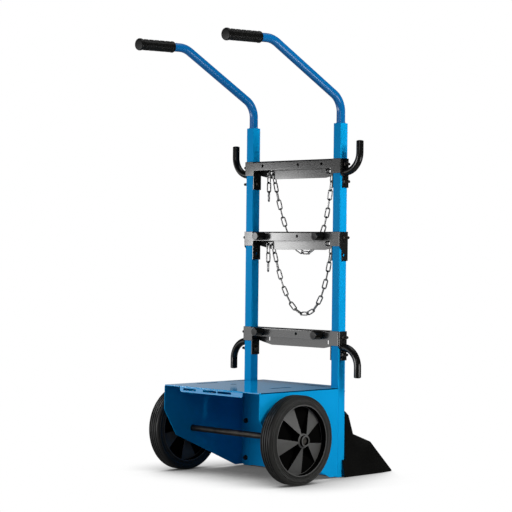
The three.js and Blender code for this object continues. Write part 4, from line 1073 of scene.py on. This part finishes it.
LINK_WIRE = 4.0
LINK_WIDTH = 15.0
LINK_PITCH = 27.0
LINK_BITE = 0.9
LINK_ARC = (LINK_WIDTH - LINK_WIRE) / 2
LINK_BEND_STEPS, LINK_SIDES = 12, 12
LINK_SWELL, LINK_SWELL_LENGTH = 0.16, 1.6
CHAIN_LINKS = {"upper": 21, "middle": 19}
TAIL_LINKS = 3
TWIST_PER_LINK, MOST_TWIST = 15.0, 45.0
CHAIN_PLAY = 0.9
CHAIN_LEAN = Matrix.Rotation(radians(4.0), 4, "X")
ANCHOR_DROP = -FRONT_LEG + CHAIN_SLOT_RISE + LINK_WIDTH / 2 + FIT_GAP
ANCHOR_Y = (COLLAR_IN + COLLAR_OUT) / 2
ANCHOR_REACH = LINK_PITCH / 2 - LINK_ARC + LINK_WIRE / 2
ANCHOR_AXES = np.array([[0.0, 1.0, 0.0], [0.0, 0.0, 1.0], [1.0, 0.0, 0.0]])
HANG_DROP = ANCHOR_DROP - LINK_WIDTH / 2 + LINK_WIRE / 2
HANG_LIFT = LINK_WIRE / 2 + CHAIN_PLAY


def link_shape(inner_length):
    """One oval link in the xy plane, long along x, with the swelling of its weld on one side."""
    shift = inner_length / 2 + LINK_WIRE / 2 - LINK_ARC
    route = []
    for end in (1, -1):
        for k in range(LINK_BEND_STEPS + 1):
            a = -end * pi / 2 + pi * k / LINK_BEND_STEPS
            u, v = cos(a), sin(a)
            route.append((end * shift + LINK_ARC * u, LINK_ARC * v, u, v))
        for k in range(1, 4):
            route.append((end * (shift - 2 * shift * k / 4), end * LINK_ARC, 0.0, end))
    rings = []
    for x, y, out_x, out_y in route:
        welded = y > LINK_ARC * 0.99
        swell = 1.0 + (LINK_SWELL * exp(-(x / LINK_SWELL_LENGTH) ** 2) if welded else 0.0)
        centre, out = np.array([x, y, 0.0]), np.array([out_x, out_y, 0.0])
        rings.append(ring_about(centre, out, np.array(UP), LINK_WIRE / 2 * swell, LINK_SIDES))
    return np.concatenate(rings), ring_faces(len(rings), LINK_SIDES, closed=True)


def catenary(span, length):
    """A hanging line's points by the distance along it, about the middle of its two ends."""
    low, high = span / 50.0, span * 50.0
    for _ in range(60):
        scale = (low + high) / 2
        if 2 * scale * sinh(span / (2 * scale)) > length:
            low = scale
        else:
            high = scale
    ends = scale * cosh(span / (2 * scale))

    def point(distance):
        x = scale * asinh((distance - length / 2) / scale)
        return np.array([x, 0.0, scale * cosh(x / scale) - ends])

    return point


def chain_shape(count, point, held_ends):
    """Links in turn about the run, which twists away from a held end."""
    link, faces = link_shape(LINK_PITCH - LINK_BITE)
    shapes = []
    depth = np.array([0.0, 1.0, 0.0])
    for index in range(count):
        start, end = point(index * LINK_PITCH), point((index + 1) * LINK_PITCH)
        along = unit(end - start)
        across = np.cross(depth, along)
        from_end = index if held_ends == 1 else min(index, count - 1 - index)
        roll = radians(min(TWIST_PER_LINK * from_end, MOST_TWIST) + 90.0 * (index % 2))
        sideways = across * cos(roll) + depth * sin(roll)
        axes = np.array([along, sideways, np.cross(along, sideways)])
        shapes.append((link @ axes + (start + end) / 2, faces))
    return merged(shapes)


def build_chains():
    points, faces = link_shape(LINK_PITCH)
    anchor = (points @ ANCHOR_AXES, faces)
    tail = chain_shape(TAIL_LINKS, lambda distance: np.array([0.0, 0.0, HANG_LIFT - distance]), 1)
    for name, count in CHAIN_LINKS.items():
        top = BRACKETS[name]
        for hand, x in (("left", -CHAIN_LEFT), ("right", CHAIN_RIGHT)):
            shape = moved(anchor, (x, ANCHOR_Y, top + ANCHOR_DROP))
            piece(f"chain_anchor_{name}_{hand}", "link", shape, "zinc_steel")
        curve = catenary(CHAIN_LEFT + CHAIN_RIGHT, count * LINK_PITCH - 2 * HANG_LIFT)
        loop = chain_shape(count, lambda distance: curve(distance - HANG_LIFT), 2)
        place = ((CHAIN_RIGHT - CHAIN_LEFT) / 2, ANCHOR_Y + ANCHOR_REACH, top + HANG_DROP)
        shape = moved(loop, place, CHAIN_LEAN)
        piece(f"chain_loop_{name}", "links", shape, "zinc_steel", f"{name}_chain")
        shape = moved(tail, (-CHAIN_LEFT, ANCHOR_Y - ANCHOR_REACH, top + HANG_DROP))
        piece(f"chain_tail_{name}", "links", shape, "zinc_steel", f"{name}_chain_tail")


build_chains()

# Wheels and axle, turned about the x axis with their outer side towards +x

WHEEL_SIDES = 128
TYRE_RADIUS = 125.0
TYRE_BORE_RADIUS = 100.0
TYRE_WALL = [(-0.4, 0.0), (0.5, 0.7), (0.5, 1.7), (-0.9, 2.6), (-0.9, 4.2), (0.1, 5.0), (0.1, 6.0),
             (-1.0, 6.9), (-0.7, 12.0), (-0.5, 13.4), (0.4, 14.2), (0.4, 15.4), (-1.1, 16.4), (-1.1, 17.6),
             (-0.6, 18.4), (-1.2, 20.4), (-3.0, 22.9), (-5.0, 24.4)]  # out from the side, up from the bore
TREAD_GROOVES = 4
TREAD_INSET = 5.5
TREAD_GROOVE = [(2.0, 0.0), (1.6, -0.6), (1.2, -2.6), (-1.2, -2.6), (-1.6, -0.6), (-2.0, 0.0)]
SPOKES = 5
SPOKE_PHASE = radians(46.0)
RIM_DISH = 24.0  # the spokes' outer faces rise this far toward the hub
RIM_BAND = 3.5
RIM_WEB = 1.0
POCKET_HALF = pi / SPOKES * 0.52
POCKET_ROOT = POCKET_HALF * 1.5
POCKET_OUTER, POCKET_INNER = TYRE_BORE_RADIUS - 5.3, 21.0
POCKET_CORNERS = [1.5] + [0] * 7 + [1.5, 1.0] + [0] * 5 + [1.0]
HUB_RADIUS = 16.0
HUB_BORE_RADIUS = 11.0
HUB_PROUD = 14.0
HUB_FILLET = [(-1.0, HUB_RADIUS - 0.5), (-1.0, 20.5), (1.6, 18.6), (2.6, HUB_RADIUS - 0.5)]
BUSH_RADIUS = 10.7
RETAINER_DEPTH, RETAINER_WIDTH = 8.0, 2.5
RETAINER_RADIUS, RETAINER_TIP_RADIUS = 10.4, 10.0
AXLE_CHAMFER = 1.0


def tyre_shape():
    half = TYRE_WIDTH / 2
    wall = [(half + out, TYRE_BORE_RADIUS + rise) for out, rise in TYRE_WALL]
    tread = []
    pitch = (TYRE_WIDTH - 2 * TREAD_INSET) / TREAD_GROOVES
    for k in range(TREAD_GROOVES):
        middle = half - TREAD_INSET - pitch * (k + 0.5)
        tread += [(middle + out, TYRE_RADIUS + rise) for out, rise in TREAD_GROOVE]
    return lathe(wall + tread + [(-x, r) for x, r in reversed(wall)], WHEEL_SIDES)


def arc_points(radius, start, turn, steps):
    angles = [start + turn * k / steps for k in range(steps + 1)]
    return [(radius * cos(a), radius * sin(a)) for a in angles]


def pocket_outline(middle):
    corners = arc_points(POCKET_OUTER, middle - POCKET_HALF, 2 * POCKET_HALF, 8)
    corners += arc_points(POCKET_INNER, middle + POCKET_ROOT, -2 * POCKET_ROOT, 6)
    return rounded_profile(corners, POCKET_CORNERS, 4)


def rim_shape():
    """A band, two spoked discs with a web between them, and a hub with a fillet at its foot."""
    half = TYRE_WIDTH / 2
    band = TYRE_BORE_RADIUS - FIT_GAP
    lip = band - RIM_BAND
    face = half - RIM_RECESS
    holes = [pocket_outline(SPOKE_PHASE + 2 * pi * (k + 0.5) / SPOKES) for k in range(SPOKES)]
    holes.append(circle(0, 0, HUB_RADIUS - 1.5, 48))
    shapes = [turned_ring(-half, half, lip, band, 1.2, 3, WHEEL_SIDES)]
    for low, high in ((RIM_WEB, face), (-face, -RIM_WEB)):
        points, faces = taken(flat_sheet(circle(0, 0, lip + 1.0, 96), holes, high - low, 0.9))
        across = points[:, 2] + low
        if low > 0:
            radius = np.hypot(points[:, 0], points[:, 1])
            rise = RIM_DISH * np.clip((lip - radius) / (lip - HUB_RADIUS), 0.0, 1.0)
            across = across + np.where(across > (low + high) / 2, rise, 0.0)
        shapes.append((np.stack([across, points[:, 0], points[:, 1]], axis=1), faces))
    shapes.append(turned_ring(-RIM_WEB, RIM_WEB, HUB_RADIUS - 2.0, lip + 2.0, 0.0, 1, 96))
    shapes.append(turned_ring(-half, half + HUB_PROUD, HUB_BORE_RADIUS, HUB_RADIUS, 1.3, 3, 64))
    foot = face + RIM_DISH - 2.0
    shapes.append(lathe(rounded_profile([(foot + x, r) for x, r in HUB_FILLET], 0.5, 2), 64))
    return merged(shapes)


def build_wheels():
    half = TYRE_WIDTH / 2
    end = half + HUB_PROUD - RETAINER_DEPTH
    tip = end + RETAINER_WIDTH
    bore = AXLE_RADIUS + FIT_GAP
    tyre, rim = tyre_shape(), rim_shape()
    bush = turned_ring(-half, end - FIT_GAP, bore, BUSH_RADIUS, 0.3, 2, 48)
    cap = [(end, bore), (end, RETAINER_RADIUS), (tip, RETAINER_TIP_RADIUS), (tip, bore)]
    cap = lathe(rounded_profile(cap, 0.25, 2), 48)
    spacer = turned_ring(-half - WHEEL_GAP + FIT_GAP, -half - FIT_GAP, bore, HUB_RADIUS, 0.8, 2, 48)
    for hand, side in SIDES.items():
        place = (side * WHEEL_X, -AXLE_BACK, AXLE_HEIGHT)
        half_turn = None if side > 0 else Matrix.Rotation(pi, 4, "Z")
        wheel = f"wheel_{hand}"
        for node, kind, shape, slot, body in (
                ("tyre", "tread", tyre, "tyre_rubber", wheel),
                ("wheel_rim", "spokes", rim, "rim_plastic", wheel),
                ("wheel_bush", "sleeve", bush, "bush_nylon", wheel),
                ("axle_retainer", "ring", cap, "dark_steel", "frame"),
                ("axle_spacer", "tube", spacer, "dark_steel", "frame")):
            piece(f"{node}_{hand}", kind, moved(shape, place, half_turn), slot, body)
    reach = WHEEL_X + tip
    shank, chamfer = reach - AXLE_CHAMFER, AXLE_RADIUS - AXLE_CHAMFER
    rod = [(-reach, AXIS_RADIUS), (-reach, chamfer), (-shank, AXLE_RADIUS), (shank, AXLE_RADIUS),
           (reach, chamfer), (reach, AXIS_RADIUS)]
    shape = moved(lathe(rod, 48, closed=False), (0, -AXLE_BACK, AXLE_HEIGHT))
    piece("axle", "rod", shape, "dark_steel")


build_wheels()

# Toe plate and wings: the CAD sheets with rounded edges

TOE_EDGE = 0.7


def build_toe_plate():
    for node in ("toe_plate", "toe_wing_left", "toe_wing_right"):
        build = bmesh.new()
        build.from_mesh(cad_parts[node].data)
        bmesh.ops.remove_doubles(build, verts=build.verts, dist=1e-5)
        bmesh.ops.dissolve_limit(build, angle_limit=radians(1.0), verts=build.verts, edges=build.edges)
        points, faces = taken(build)
        shape = (points / MM - np.array([0.0, ORIGIN_Y, 0.0]), faces)
        piece(node, "sheet", shape, "black_paint", finish="dull_black_paint", bevel=TOE_EDGE)


build_toe_plate()
